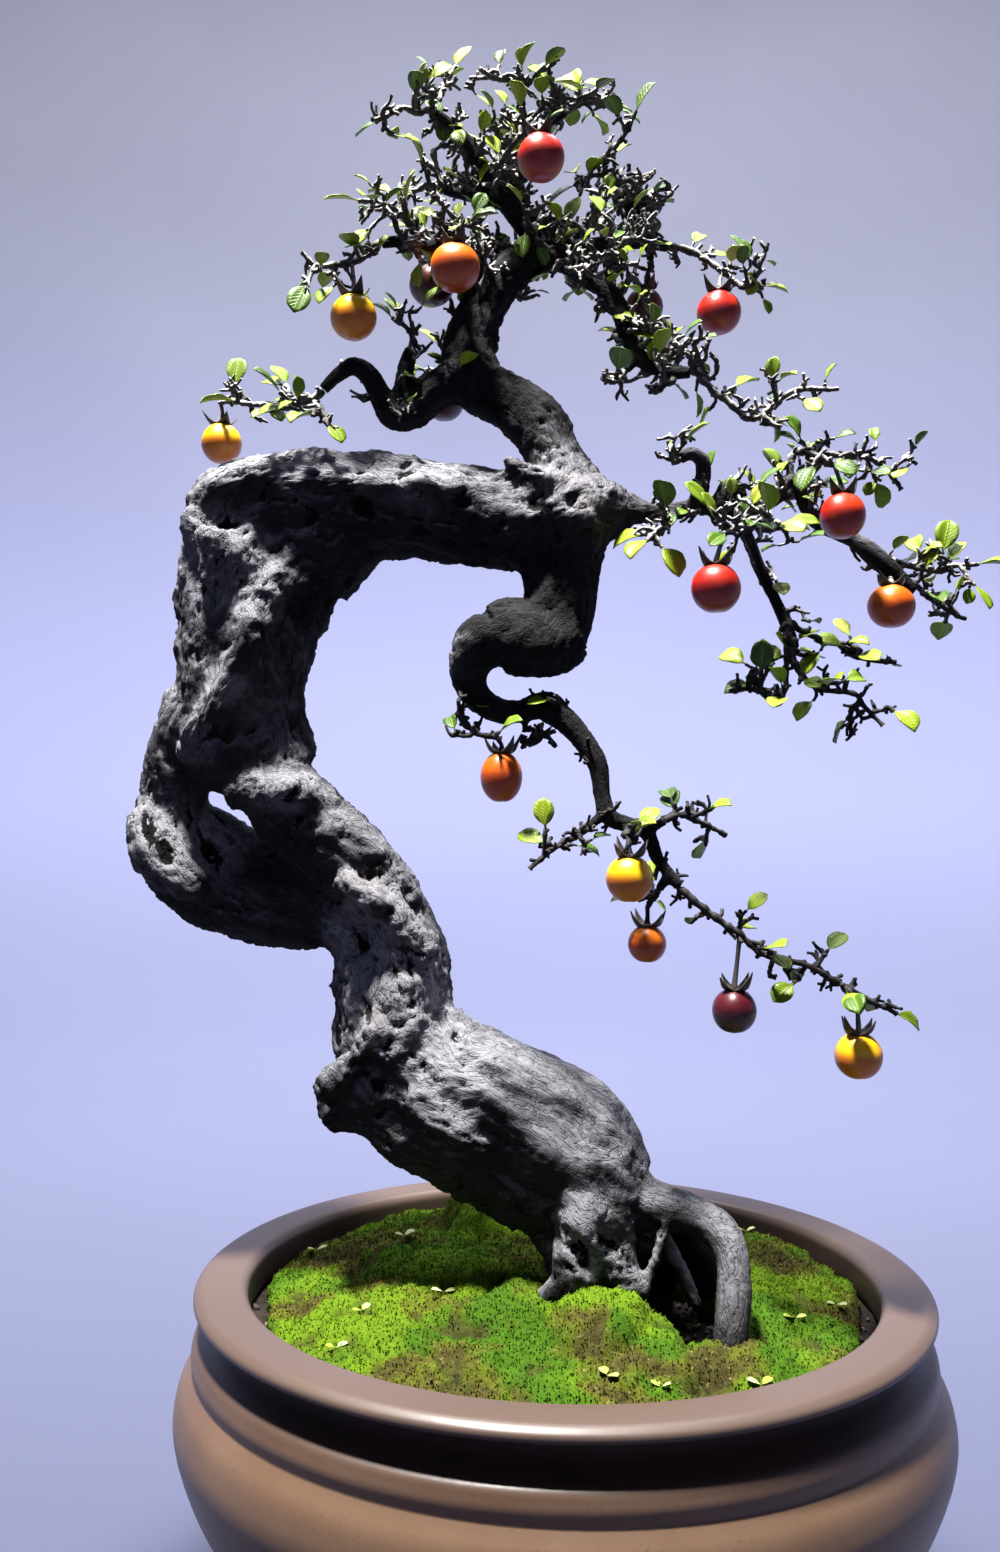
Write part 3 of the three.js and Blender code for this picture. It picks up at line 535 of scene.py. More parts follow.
def mossFinish(look):
    finish = Finish("moss")
    height = finish.attribute("crown")  # low in the creases between the cushions
    weather = finish.attribute("dry")
    patch = finish.grain(16, 4, 0.6) - weather * 0.16
    dry = finish.grain(26, 4, 0.6, finish.stretched((1, 1.3, 1), (0, 0, 0.6))) + weather * 0.10
    fleck = finish.grain(900, 3, 0.7)
    tone = finish.mix(patch.rise(0.40, 0.62), look["green"], look["lime"])
    tone = finish.mix(dry.rise(0.47, 0.60) * 0.85, tone, look["olive"])
    tone = finish.mix(dry.rise(0.56, 0.66) * 0.8, tone, look["brown"])
    # towards the bottom of the creases the moss goes brown, partly its own brown lower growth and partly
    # painted shade, then near black: painted shade
    tone = finish.mix((1 - height.rise(0.10, 0.80)) * 0.85, tone, look["brown"])
    tone = finish.mix((1 - height.rise(0.0, 0.22)) * 0.8, tone, look["gap"])
    straw = finish.grain(420, 3, 0.7)
    tone = finish.mix(straw.rise(0.60, 0.68) * dry.rise(0.44, 0.58) * 0.8, tone, look["straw"])
    tone = finish.mix(fleck.rise(0.35, 0.75), finish.mix(0.55, tone, (0.01, 0.03, 0.004)), tone)
    relief = finish.bump(fleck, 0.9, 0.9)
    return finish.surface(Base_Color=tone, Roughness=0.9, Normal=relief, Specular_IOR_Level=0.1)


def makeMoss(look):
    deselectAll()
    side = 2 * (look["radius"] + 4)
    parts = round(side / look["spacing"])
    bpy.ops.mesh.primitive_grid_add(x_subdivisions=parts, y_subdivisions=parts, size=side * mm)
    carpet = bpy.context.object
    shape = bmesh.new()
    shape.from_mesh(carpet.data)
    crown = shape.verts.layers.float.new("crown")
    dry = shape.verts.layers.float.new("dry")
    outside = []
    for vert in shape.verts:
        x, y = vert.co.x / mm, vert.co.y / mm
        # how far inside the wavy edge of the carpet, which stands back from the rim at the rear
        angle = math.atan2(y, x)
        border = look["radius"] + 2 * math.sin(5 * angle) + 1.5 * math.sin(9 * angle) - math.hypot(x, y)
        border += 2.2 * noise.noise(Vector((x, y, 3)) * 0.16) - 9 * smoothStep(10, 110, y)
        # and how far outside the opening round the roots
        hole = edgeDistance(x, y, look["opening"])
        if insideOutline(x, y, look["opening"]):
            hole = -hole
        hole += 3.0 * noise.noise(Vector((x, y, 9)) * 0.12)
        if border < 0 or hole < 0:
            outside.append(vert)
            continue
        extra, vert[crown] = cushion(x, y)
        for px, py, reach, amount in look["weather"]:
            gap = math.hypot(x - px, y - py) / reach + 0.5 * noise.noise(Vector((x, y, 5)) * 0.07)
            vert[dry] += amount * (1 - smoothStep(0.35, 1.0, gap))
        shoulder = min(1, min(border, hole) / look["shoulder"])
        full = mossHeight(x, y) + extra
        lip = look["soilTop"] + look["lip"]
        vert.co.z = (lip + (full - lip) * math.sqrt(1 - (1 - shoulder) ** 2)) * mm
    bmesh.ops.delete(shape, geom=outside, context="VERTS")
    rim = [edge for edge in shape.edges if edge.is_boundary]
    skirt = bmesh.ops.extrude_edge_only(shape, edges=rim)["geom"]
    for vert in [item for item in skirt if isinstance(item, bmesh.types.BMVert)]:
        vert.co.z = look["soilTop"] * mm
    lower = [item for item in skirt if isinstance(item, bmesh.types.BMEdge) and item.is_boundary]
    bmesh.ops.triangle_fill(shape, edges=lower, use_beauty=True)
    bmesh.ops.recalc_face_normals(shape, faces=shape.faces)
    shape.to_mesh(carpet.data)
    shape.free()
    settle(carpet, "moss_carpet")
    smoothFaces(carpet)
    dress(carpet, mossFinish(look), "moss", "moss")
    return carpet


def makeTufts(carpet, seed, count, bare, lean, tall, wide):
    # short closed spikes all over the carpet, leaning a little at random
    draw = SeededDraw(seed)
    tops = [face for face in carpet.data.polygons if face.normal.z > 0.15]
    points, faces, tones, dryness = [], [], [], []
    crown = carpet.data.attributes["crown"].data
    dry = carpet.data.attributes["dry"].data
    for _ in range(count):
        face = tops[int(draw.number() * len(tops)) % len(tops)]
        here = crown[face.vertices[0]].value
        if here < draw.between(*bare):
            continue  # the creases between the cushions stay bare
        foot = face.center / mm
        way = (face.normal + draw.direction() * lean).normalized()
        long, half = draw.between(*tall), draw.between(*wide)
        across = way.orthogonal().normalized()
        beside = way.cross(across)
        start = len(points)
        for corner in range(3):
            turn = corner * 2 * math.pi / 3 + draw.number()
            points.append(foot - way * 0.5 + (across * math.cos(turn) + beside * math.sin(turn)) * half)
        points.append(foot + way * long)
        faces += [(start, start + 1, start + 3), (start + 1, start + 2, start + 3),
                  (start + 2, start, start + 3), (start, start + 2, start + 1)]
        # the foot of each spike gets a lower crease value than its tip and is coloured darker: partly the
        # moss's brown lower stems, partly painted shade
        tones += [here * 0.5] * 3 + [min(1, here + 0.35)]
        dryness += [dry[face.vertices[0]].value] * 4
    tufts = meshPiece("moss_tufts", points, faces, {"crown": tones, "dry": dryness})
    dress(tufts, carpet.data.materials[0], "moss", "moss")


def soilFinish(look):
    finish = Finish("potting_soil")
    crumbs = finish.cells(260)
    lumps = finish.grain(60, 5, 0.65)
    tone = finish.mix(lumps.rise(0.4, 0.7), look["soil"], (0.06, 0.042, 0.03))
    tone = finish.mix(crumbs.rise(0.0, 0.5) * 0.5, (0.006, 0.005, 0.004), tone)
    relief = finish.bump(crumbs + lumps * 2, 1.6, 1.0)
    return finish.surface(Base_Color=tone, Roughness=0.95, Normal=relief, Specular_IOR_Level=0.2)


def stoneFinish(look):
    finish = Finish("grit")
    patch = finish.grain(55, 3, 0.6)
    speck = finish.grain(900, 3, 0.7)
    tone = finish.mix(patch.rise(0.35, 0.7), look["soil"], look["stone"])
    tone = finish.mix(speck.rise(0.5, 0.7) * 0.4, tone, (0.34, 0.30, 0.27))
    return finish.surface(Base_Color=tone, Roughness=0.85, Normal=finish.bump(speck, 0.4, 0.7))


def makeGrit(look):
    # one rough stone, copied and turned at random
    bpy.ops.mesh.primitive_ico_sphere_add(subdivisions=1, radius=1)
    pebble = bpy.context.object
    places = [vert.co.copy() * (0.8 + 0.4 * noise.noise(vert.co * 2)) for vert in pebble.data.vertices]
    sides = [tuple(face.vertices) for face in pebble.data.polygons]
    bpy.data.objects.remove(pebble)
    draw = SeededDraw(look["seed"])
    points, faces = [], []
    for number in range(look["grit"]):
        if number % 3:
            x, y = (middle + draw.between(-1, 1) * reach
                    for middle, reach in zip(look["bareSpot"], look["bareReach"]))
            if not insideOutline(x, y, mossLook["opening"]):
                continue
        else:
            turn = draw.number() * 2 * math.pi
            away = draw.between(*look["rimBand"])
            x, y = math.cos(turn) * away, math.sin(turn) * away
        size = draw.between(*look["size"])
        turn = draw.direction().to_track_quat("Z", "Y")
        squash = Vector((1, draw.between(0.6, 1), draw.between(0.5, 0.8)))
        start = len(points)
        foot = Vector((x, y, look["top"] + size * 0.35))
        points += [foot + turn @ (place * squash) * size for place in places]
        faces += [tuple(start + corner for corner in side) for side in sides]
    grit = meshPiece("grit", points, faces)
    dress(grit, stoneFinish(look), "soil")


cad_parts["soil"].data.materials.clear()
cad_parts["soil"].data.materials.append(soilFinish(groundLook))
makeGrit(groundLook)
mossCarpet = makeMoss(mossLook)
makeTufts(mossCarpet, **mossLook["tufts"])
print("ground and moss laid")

# Wood: the places that it runs through, each as x, y, z and radius, mm; first the trunk
heavyWood = [
    [(50, -40, 216, 10), (38, -37, 213, 19), (22, -36, 224, 28), (4, -34, 241, 34),
     (-28, -28, 257, 36), (-62, -20, 270, 37), (-86, -10, 291, 34), (-91, -4, 316, 32),
     (-95, 0, 341, 31), (-108, 2, 358, 28)],
    [(-86, -20, 268, 29), (-102, -20, 262, 25), (-115, -18, 258, 17)],
    [(-80, -22, 250, 26), (-48, -26, 239, 27), (-12, -31, 226, 27), (18, -35, 208, 22)],
    [(-105, 4, 362, 25), (-128, 8, 359, 22), (-155, 11, 356, 21), (-184, 12, 364, 23),
     (-205, 10, 384, 25), (-214, 8, 412, 22), (-208, 4, 440, 22), (-194, 0, 462, 26)],
    [(-97, -8, 356, 27), (-112, -11, 382, 25), (-130, -14, 402, 23), (-150, -13, 420, 23),
     (-162, -6, 441, 27), (-170, 0, 462, 31)],
    [(-116, 8, 372, 27), (-138, 8, 382, 24), (-160, 10, 384, 17), (-178, 12, 391, 15),
     (-197, 12, 402, 14)],
    [(-179, 0, 450, 34), (-177, 0, 476, 36), (-175, 2, 498, 37), (-174, 4, 522, 39),
     (-175, 4, 545, 38), (-178, 2, 562, 33)],
    [(-184, 0, 570, 27), (-160, -2, 577, 29), (-137, -4, 577, 30), (-112, -7, 576, 29),
     (-90, -10, 574, 28), (-66, -13, 570, 27), (-38, -19, 565, 26), (-12, -25, 560, 27),
     (4, -28, 562, 25)],
    [(-155, 2, 524, 28), (-142, 0, 542, 28), (-122, -4, 560, 27)],
    [(-3, -28, 543, 23), (0, -28, 566, 27), (2, -26, 582, 17)],
]

# limbs that are remeshed with the trunk: the leader of the crown, and the hook
stoutLimbs = {
    "beak": [(0, -28, 564, 24), (17, -29, 565, 20), (28, -30, 566, 13), (37, -31, 566, 6)],
    "leader": [(-1, -27, 570, 20), (-3, -24, 585, 19), (-9, -22, 599, 16), (-14, -20, 611, 16),
        (-24, -17, 622, 15), (-37, -14, 631, 15), (-49, -9, 641, 16), (-54, -5, 657, 16),
        (-50, -2, 673, 15), (-43, 2, 690, 13), (-32, 6, 706, 12), (-21, 9, 717, 11), (-17, 10, 727, 10),
        (-27, 11, 740, 9), (-37, 10, 752, 8), (-44, 8, 762, 6)],
    "hookDrop": [(-3, -28, 556, 22), (-4, -30, 536, 21), (-5, -33, 516, 19), (-7, -37, 500, 17)],
    "hookBend": [(2, -37, 503, 14), (-8, -41, 496, 16), (-22, -46, 497, 17), (-37, -47, 500, 15)],
    "hookCurl": [(-36, -46, 502, 14), (-45, -46, 492, 14), (-50, -44, 480, 10), (-45, -41, 468, 8),
        (-33, -42, 461, 7), (-18, -45, 461, 6)],
    "hookSpur": [(-38, -46, 507, 9), (-26, -42, 513, 8), (-16, -39, 506, 9)],
}

# limbs that are a finer piece of their own, each named after the spray it ends in
fineLimbs = {
    "cascade_tip": [(-22, -44, 461, 6), (-9, -47, 464, 7), (-1, -49, 457, 5.5), (9, -52, 446, 4.6),
        (16, -55, 434, 4.2), (18, -57, 420, 3.8), (21, -59, 409, 3.8), (30, -59, 405, 3.4),
        (40, -59, 401, 3.4), (45, -59, 389, 3.2), (56, -60, 375, 3)],
    "right_arch": [(30, -31, 566, 9), (42, -34, 564, 5.5), (55, -35, 565, 5), (67, -36, 567, 4.6),
        (80, -36, 566, 4.2), (95, -34, 567, 4), (107, -31, 573, 3.8), (112, -28, 582, 3.6),
        (119, -25, 581, 3.6), (123, -22, 571, 4), (130, -20, 562, 4), (141, -17, 557, 3.6),
        (151, -15, 552, 3.1)],
    "right_up": [(64, -36, 565, 4.6), (68, -40, 577, 4.6), (68, -43, 588, 4.4), (62, -45, 592, 3.6),
        (56, -46, 589, 3)],
    "down": [(84, -36, 566, 4.2), (91, -44, 548, 3.7), (96, -48, 533, 3.3), (103, -52, 517, 3)],
    "mid_tip": [(-22, 8, 715, 9), (-6, 6, 713, 7), (11, 2, 701, 6), (24, -3, 688, 5.6), (30, -6, 674, 5.6),
        (34, -9, 660, 5), (42, -12, 649, 4.6), (53, -14, 644, 4), (64, -16, 643, 3.4)],
    "top_tip": [(-18, 10, 720, 8), (-3, 14, 722, 5.6), (17, 18, 726, 5), (39, 22, 730, 4.4),
        (55, 25, 728, 3.2)],
    "up_right": [(32, 21, 727, 4.4), (37, 22, 740, 4.2), (31, 22, 753, 3.8), (21, 21, 765, 3.1)],
    "left_mid": [(-42, 4, 694, 7), (-54, -8, 709, 5.6), (-63, -15, 719, 5), (-69, -19, 712, 4.6),
        (-77, -22, 708, 4), (-88, -24, 711, 3.6), (-99, -26, 709, 2.8)],
    "left_high": [(-34, 10, 748, 6), (-55, 16, 754, 4), (-70, 22, 760, 3)],
    "left_low": [(-52, -9, 643, 15), (-69, -12, 637, 12), (-82, -16, 624, 10.5), (-92, -19, 620, 8.5),
        (-99, -21, 628, 6.8), (-105, -22, 639, 5.8), (-113, -23, 645, 5.2), (-121, -24, 640, 4.2),
        (-129, -25, 632, 3.2)],
    "stub_tip": [(-89, -18, 624, 6), (-86, -20, 644, 5.2), (-83, -21, 655, 4)],
    "crown_left": [(-37, 10, 748, 7.5), (-47, 6, 762, 6), (-55, 2, 774, 4.4), (-63, -3, 782, 3.4),
        (-73, -8, 788, 2.8)],
    "crown_top": [(-38, 10, 752, 6.5), (-32, 14, 773, 4.8), (-27, 14, 790, 3.8), (-28, 10, 802, 2.8)],
    "crown_right": [(-32, 13, 768, 4.4), (-17, 20, 793, 3.4), (-3, 22, 804, 2.8)],
}

# roots: the arch that stands clear, two feet under the trunk and a strand
roots = {
    "arch": [(34, -40, 218, 17), (47, -45, 217, 13), (62, -55, 216, 10), (74, -65, 212, 8.8),
        (80, -75, 202, 8), (80, -84, 186, 8), (78, -88, 168, 8), (78, -88, 132, 8)],
    "front": [(22, -32, 219, 18), (18, -27, 203, 14), (17, -24, 184, 13), (19, -24, 166, 12),
        (19, -24, 132, 12)],
    "back": [(36, -34, 208, 17), (42, -16, 194, 13), (48, -4, 174, 11), (48, -4, 132, 11)],
    "strand": [(50, -49, 214, 4), (45, -50, 198, 3), (40, -46, 178, 2.6), (40, -46, 132, 2.6)],
}

# short spurs that carry a spray off the side of a limb, named in the same way
spurs = {
    "crown_back": [(-38, 14, 764), (-40, 27, 774)],
    "crown_front": [(-38, 6, 752), (-39, -7, 754)],
    "centre_back": [(-4, 8, 716), (-2, 20, 726)],
    "mid_left": [(38, -10, 655), (30, -13, 645)],
    "left_mid_up": [(-79, -22, 709), (-83, -25, 717)],
    "left_fruit": [(-64, -16, 717), (-61, -26, 715)],
    "left_back": [(-66, -17, 715), (-70, -6, 719)],
    "back_low": [(-55, 0, 660), (-60, 18, 664)],
    "top_fruit": [(44, 23, 729), (45, 25, 720)],
    "right_centre": [(89, -42, 553), (91, -53, 553)],
    "right_left": [(55, -36, 564), (51, -44, 557)],
    "right_high": [(114, -27, 582), (115, -26, 592)],
    "right_back": [(105, -32, 572), (113, -21, 576)],
    "hook_side": [(-48, -44, 474), (-52, -47, 463)],
    "hook_twig": [(-20, -44, 460), (-21, -42, 450)],
    "cascade_left": [(20, -58, 411), (12, -61, 404)],
    "cascade_right": [(40, -59, 402), (49, -57, 407)],
    "cascade_fruit": [(31, -59, 404), (30, -67, 401)],
    "cascade_low": [(51, -60, 381), (46, -57, 373)],
}

# sprays: the way each sets out, its twigs and leaves, and the places that its shoots run through
sprays = {
    "crown_left": dict(
        heading=(-10, -5, 6), twigs=3, leaves=4, reach=16, seed=11,
        ways=[[(-82, -14, 786), (-90, -20, 785), (-97, -26, 778), (-104, -31, 773)],
              [(-72, 0, 800), (-70, 7, 812), (-64, 11, 825)]]),
    "crown_top": dict(
        heading=(-1, -4, 12), twigs=3, leaves=3, reach=17, seed=12,
        ways=[[(-33, 3, 811), (-42, -3, 810), (-50, -9, 812)],
              [(-22, 6, 814), (-14, 0, 818)]]),
    "crown_right": dict(
        heading=(14, 2, 11), twigs=3, leaves=3, reach=16, seed=13,
        ways=[[(7, 26, 811), (16, 30, 813), (24, 34, 811)],
              [(6, 12, 806), (14, 2, 805)]]),
    "crown_back": dict(
        heading=(-2, 13, 10), twigs=3, leaves=3, reach=18, seed=14,
        ways=[[(-41, 44, 788), (-36, 56, 803), (-28, 62, 815)]]),
    "crown_front": dict(
        heading=(-1, -13, 2), twigs=2, leaves=3, reach=16, seed=15,
        ways=[[(-35, -21, 757), (-24, -36, 762), (-14, -44, 763)]]),
    "up_right": dict(
        heading=(-10, -1, 12), twigs=3, leaves=5, reach=13, seed=16,
        ways=[[(21, 18, 777), (30, 14, 786), (36, 9, 797)],
              [(10, 25, 768), (2, 29, 765)]]),
    "top_tip": dict(
        heading=(16, 3, -2), twigs=4, leaves=4, reach=15, seed=17,
        ways=[[(69, 24, 724), (84, 20, 712), (96, 14, 700), (103, 12, 709), (108, 11, 723)]]),
    "centre_back": dict(
        heading=(2, 12, 10), twigs=3, leaves=3, reach=17, seed=18,
        ways=[[(4, 34, 738), (13, 46, 752), (24, 58, 758)]]),
    "mid_tip": dict(
        heading=(11, -2, -1), twigs=5, leaves=3, reach=14, seed=19,
        ways=[[(73, -18, 635), (83, -20, 626), (95, -20, 617), (107, -22, 623), (117, -24, 630),
               (139, -28, 630)]]),
    "mid_left": dict(
        heading=(-8, -3, -10), twigs=1, leaves=1, reach=9, seed=20,
        ways=[[(24, -18, 638), (17, -23, 638)]]),
    "left_mid": dict(
        heading=(-11, -2, -2), twigs=3, leaves=3, reach=13, seed=21,
        ways=[[(-107, -28, 702), (-114, -31, 697), (-124, -33, 695), (-133, -36, 694), (-139, -38, 700)]]),
    "left_mid_up": dict(
        heading=(-4, -3, 8), twigs=3, leaves=4, reach=13, seed=22,
        ways=[[(-90, -30, 724), (-99, -33, 728), (-110, -37, 727)]]),
    "left_high": dict(
        heading=(-15, 6, 6), twigs=2, leaves=3, reach=14, seed=23,
        ways=[[(-80, 26, 765), (-91, 30, 763), (-102, 34, 765)]]),
    "left_fruit": dict(
        heading=(3, -10, -2), twigs=1, leaves=1, reach=8, seed=24,
        ways=[[(-59, -34, 713), (-58, -38, 712)]]),
    "left_back": dict(
        heading=(-4, 11, 4), twigs=2, leaves=2, reach=13, seed=25,
        ways=[[(-74, 2, 720), (-80, 16, 722), (-84, 30, 728)]]),
    "back_low": dict(
        heading=(-5, 18, 4), twigs=2, leaves=2, reach=15, seed=26,
        ways=[[(-65, 30, 665), (-71, 39, 664), (-84, 52, 668)]]),
    "left_low": dict(
        heading=(-8, -1, -8), twigs=5, leaves=6, reach=12, seed=27,
        ways=[[(-137, -25, 626), (-148, -22, 624), (-160, -15, 627), (-173, -5, 631), (-186, 6, 636),
               (-195, 16, 638)],
              [(-130, -30, 620), (-124, -34, 611)]]),
    "stub_tip": dict(
        heading=(3, -1, 11), twigs=2, leaves=1, reach=10, seed=48,
        ways=[[(-85, -24, 665), (-93, -28, 669)]]),
    "top_fruit": dict(
        heading=(1, 2, -9), twigs=1, leaves=1, reach=8, seed=29,
        ways=[[(44, 27, 715), (43, 28, 711)]]),
    "right_up": dict(
        heading=(-6, -1, -3), twigs=1, leaves=1, reach=10, seed=30,
        ways=[[(52, -48, 590), (50, -50, 597)]]),
    "right_centre": dict(
        heading=(2, -11, 0), twigs=4, leaves=5, reach=14, seed=31,
        ways=[[(95, -65, 549), (104, -74, 548)],
              [(84, -65, 551), (75, -74, 545)]]),
    "right_left": dict(
        heading=(-4, -8, -7), twigs=3, leaves=4, reach=11, seed=32,
        ways=[[(46, -51, 552), (39, -58, 545)]]),
    "right_arch": dict(
        heading=(10, 2, -5), twigs=5, leaves=6, reach=15, seed=33,
        ways=[[(164, -12, 545), (178, -9, 535), (190, -8, 526), (201, -8, 518), (209, -9, 514)],
              [(189, -15, 538), (198, -20, 540), (211, -24, 540)]]),
    "right_high": dict(
        heading=(1, 1, 10), twigs=5, leaves=4, reach=13, seed=34,
        ways=[[(119, -24, 599), (132, -16, 600), (146, -9, 600), (161, -4, 600), (172, 0, 593),
               (178, 2, 585)],
              [(126, -32, 595), (134, -40, 588)]]),
    "right_back": dict(
        heading=(8, 11, 4), twigs=3, leaves=3, reach=16, seed=35,
        ways=[[(120, -4, 580), (128, 14, 588), (138, 34, 600)]]),
    "down": dict(
        heading=(7, -4, -16), twigs=5, leaves=4, reach=12, seed=36,
        ways=[[(109, -55, 506), (108, -57, 495), (114, -58, 480), (124, -60, 472), (139, -62, 470),
               (145, -62, 463), (153, -64, 454)],
              [(105, -61, 466), (92, -64, 471), (79, -66, 470)],
              [(122, -49, 499), (135, -42, 497), (146, -38, 490), (166, -35, 488)]]),
    "hook_side": dict(
        heading=(-4, -3, -11), twigs=1, leaves=0, reach=8, seed=37,
        ways=[[(-50, -49, 454), (-42, -51, 449), (-32, -51, 447)]]),
    "hook_twig": dict(
        heading=(-1, 2, -10), twigs=1, leaves=0, reach=8, seed=38,
        ways=[[(-17, -39, 446), (-10, -36, 450), (-5, -34, 444)]]),
    "cascade_left": dict(
        heading=(-8, -3, -7), twigs=2, leaves=1, reach=10, seed=39,
        ways=[[(6, -64, 399), (-4, -67, 394), (-17, -70, 383)]]),
    "cascade_right": dict(
        heading=(9, 2, 5), twigs=3, leaves=3, reach=11, seed=40,
        ways=[[(57, -54, 410), (68, -51, 406), (80, -48, 400)]]),
    "cascade_fruit": dict(
        heading=(-1, -8, -3), twigs=1, leaves=1, reach=8, seed=41,
        ways=[[(30, -71, 399), (31, -73, 397)]]),
    "cascade_low": dict(
        heading=(-5, 3, -8), twigs=1, leaves=0, reach=7, seed=42,
        ways=[[(43, -54, 368), (41, -51, 364)]]),
    "cascade_tip": dict(
        heading=(11, -1, -14), twigs=6, leaves=7, reach=13, seed=43,
        ways=[[(72, -62, 361), (85, -62, 352), (98, -62, 342), (116, -60, 338), (132, -58, 330),
               (150, -56, 320), (162, -54, 314)]]),
}

# fruits: the spray each hangs on, the place where its stalk is joined, its middle and its size
fruits = [
    dict(on="crown_front", stem=(-16, -43, 763), at=(-15, -52, 741), wide=24, tall=24, skin="red"),
    dict(on="left_fruit", stem=(-58, -38, 712), at=(-59, -38, 691), wide=26, tall=25, skin="orange"),
    dict(on="left_back", stem=(-74, 2, 720), at=(-75, 0, 697), wide=24, tall=23, skin="maroon"),
    dict(on="left_mid", stem=(-114, -31, 697), at=(-112, -34, 667), wide=24, tall=24, skin="amber"),
    dict(on="left_low", stem=(-194, 15, 638), at=(-196, 26, 618), wide=23, tall=23, skin="amber"),
    dict(on="back_low", stem=(-71, 39, 664), at=(-71, 38, 645), wide=23, tall=22, skin="maroon"),
    dict(on="top_fruit", stem=(43, 28, 712), at=(42, 28, 695), wide=21, tall=21, skin="maroon"),
    dict(on="top_tip", stem=(84, 20, 712), at=(82, 14, 686), wide=24, tall=24, skin="red"),
    dict(on="right_high", stem=(134, -40, 588), at=(138, -42, 561), wide=23, tall=24, skin="red"),
    dict(on="right_centre", stem=(76, -73, 546), at=(71, -78, 518), wide=24, tall=24, skin="red"),
    dict(on="right_arch", stem=(168, -11, 542), at=(166, -26, 518), wide=24, tall=23, skin="orange"),
    dict(on="hook_side", stem=(-34, -51, 447), at=(-32, -50, 428), wide=21, tall=26, skin="orange"),
    dict(on="cascade_fruit", stem=(31, -73, 397), at=(31, -74, 379), wide=23, tall=23, skin="amber"),
    dict(on="cascade_low", stem=(41, -51, 364), at=(41, -50, 346), wide=19, tall=19, skin="orange"),
    dict(on="cascade_tip", stem=(85, -62, 352), at=(82, -66, 316), wide=21, tall=22, skin="maroon"),
    dict(on="cascade_tip", stem=(141, -57, 325), at=(143, -57, 294), wide=23, tall=23, skin="amber"),
]

barkLook = {
    "voxel": 1.85, "fineVoxel": 1.05, "step": 4,
    # how deep each kind of mark cuts into the thick trunk, mm
    "marks": dict(plate=0.7, flake=0.3, furrow=1.4, crack=0.7, crumb=0.7, pit=2.0),
    "charcoal": (0.015, 0.0145, 0.0165), "ash": (0.225, 0.225, 0.245), "sootAndShade": (0.004, 0.004, 0.0045),
    "warm": (0.10, 0.085, 0.072),
}
# the run of the grain from the arched root through the whole trunk to the crown, and round the hook
spine = [(70, -88, 140, 10), (74, -76, 200, 10), (52, -50, 212, 16), (22, -37, 225, 28),
         (-28, -28, 257, 36), (-62, -20, 270, 37), (-86, -10, 291, 34), (-93, -2, 330, 31),
         (-112, 2, 358, 28), (-150, 2, 385, 34), (-178, 2, 425, 38), (-179, 0, 460, 36),
         (-175, 2, 498, 37), (-174, 4, 530, 38), (-165, 0, 562, 34), (-137, -4, 577, 30),
         (-90, -10, 574, 28), (-38, -19, 565, 26), (-8, -27, 566, 25), (-6, -23, 592, 18),
         (-24, -17, 622, 15), (-49, -9, 641, 16), (-50, -2, 673, 15), (-32, 6, 706, 12),
         (-17, 10, 727, 10), (-44, 8, 762, 6)]
hookSpine = [(-3, -28, 560, 22), (-5, -33, 516, 19), (-14, -42, 498, 16), (-37, -47, 500, 15),
             (-50, -44, 484, 11), (-33, -42, 461, 7), (-10, -46, 461, 6)]
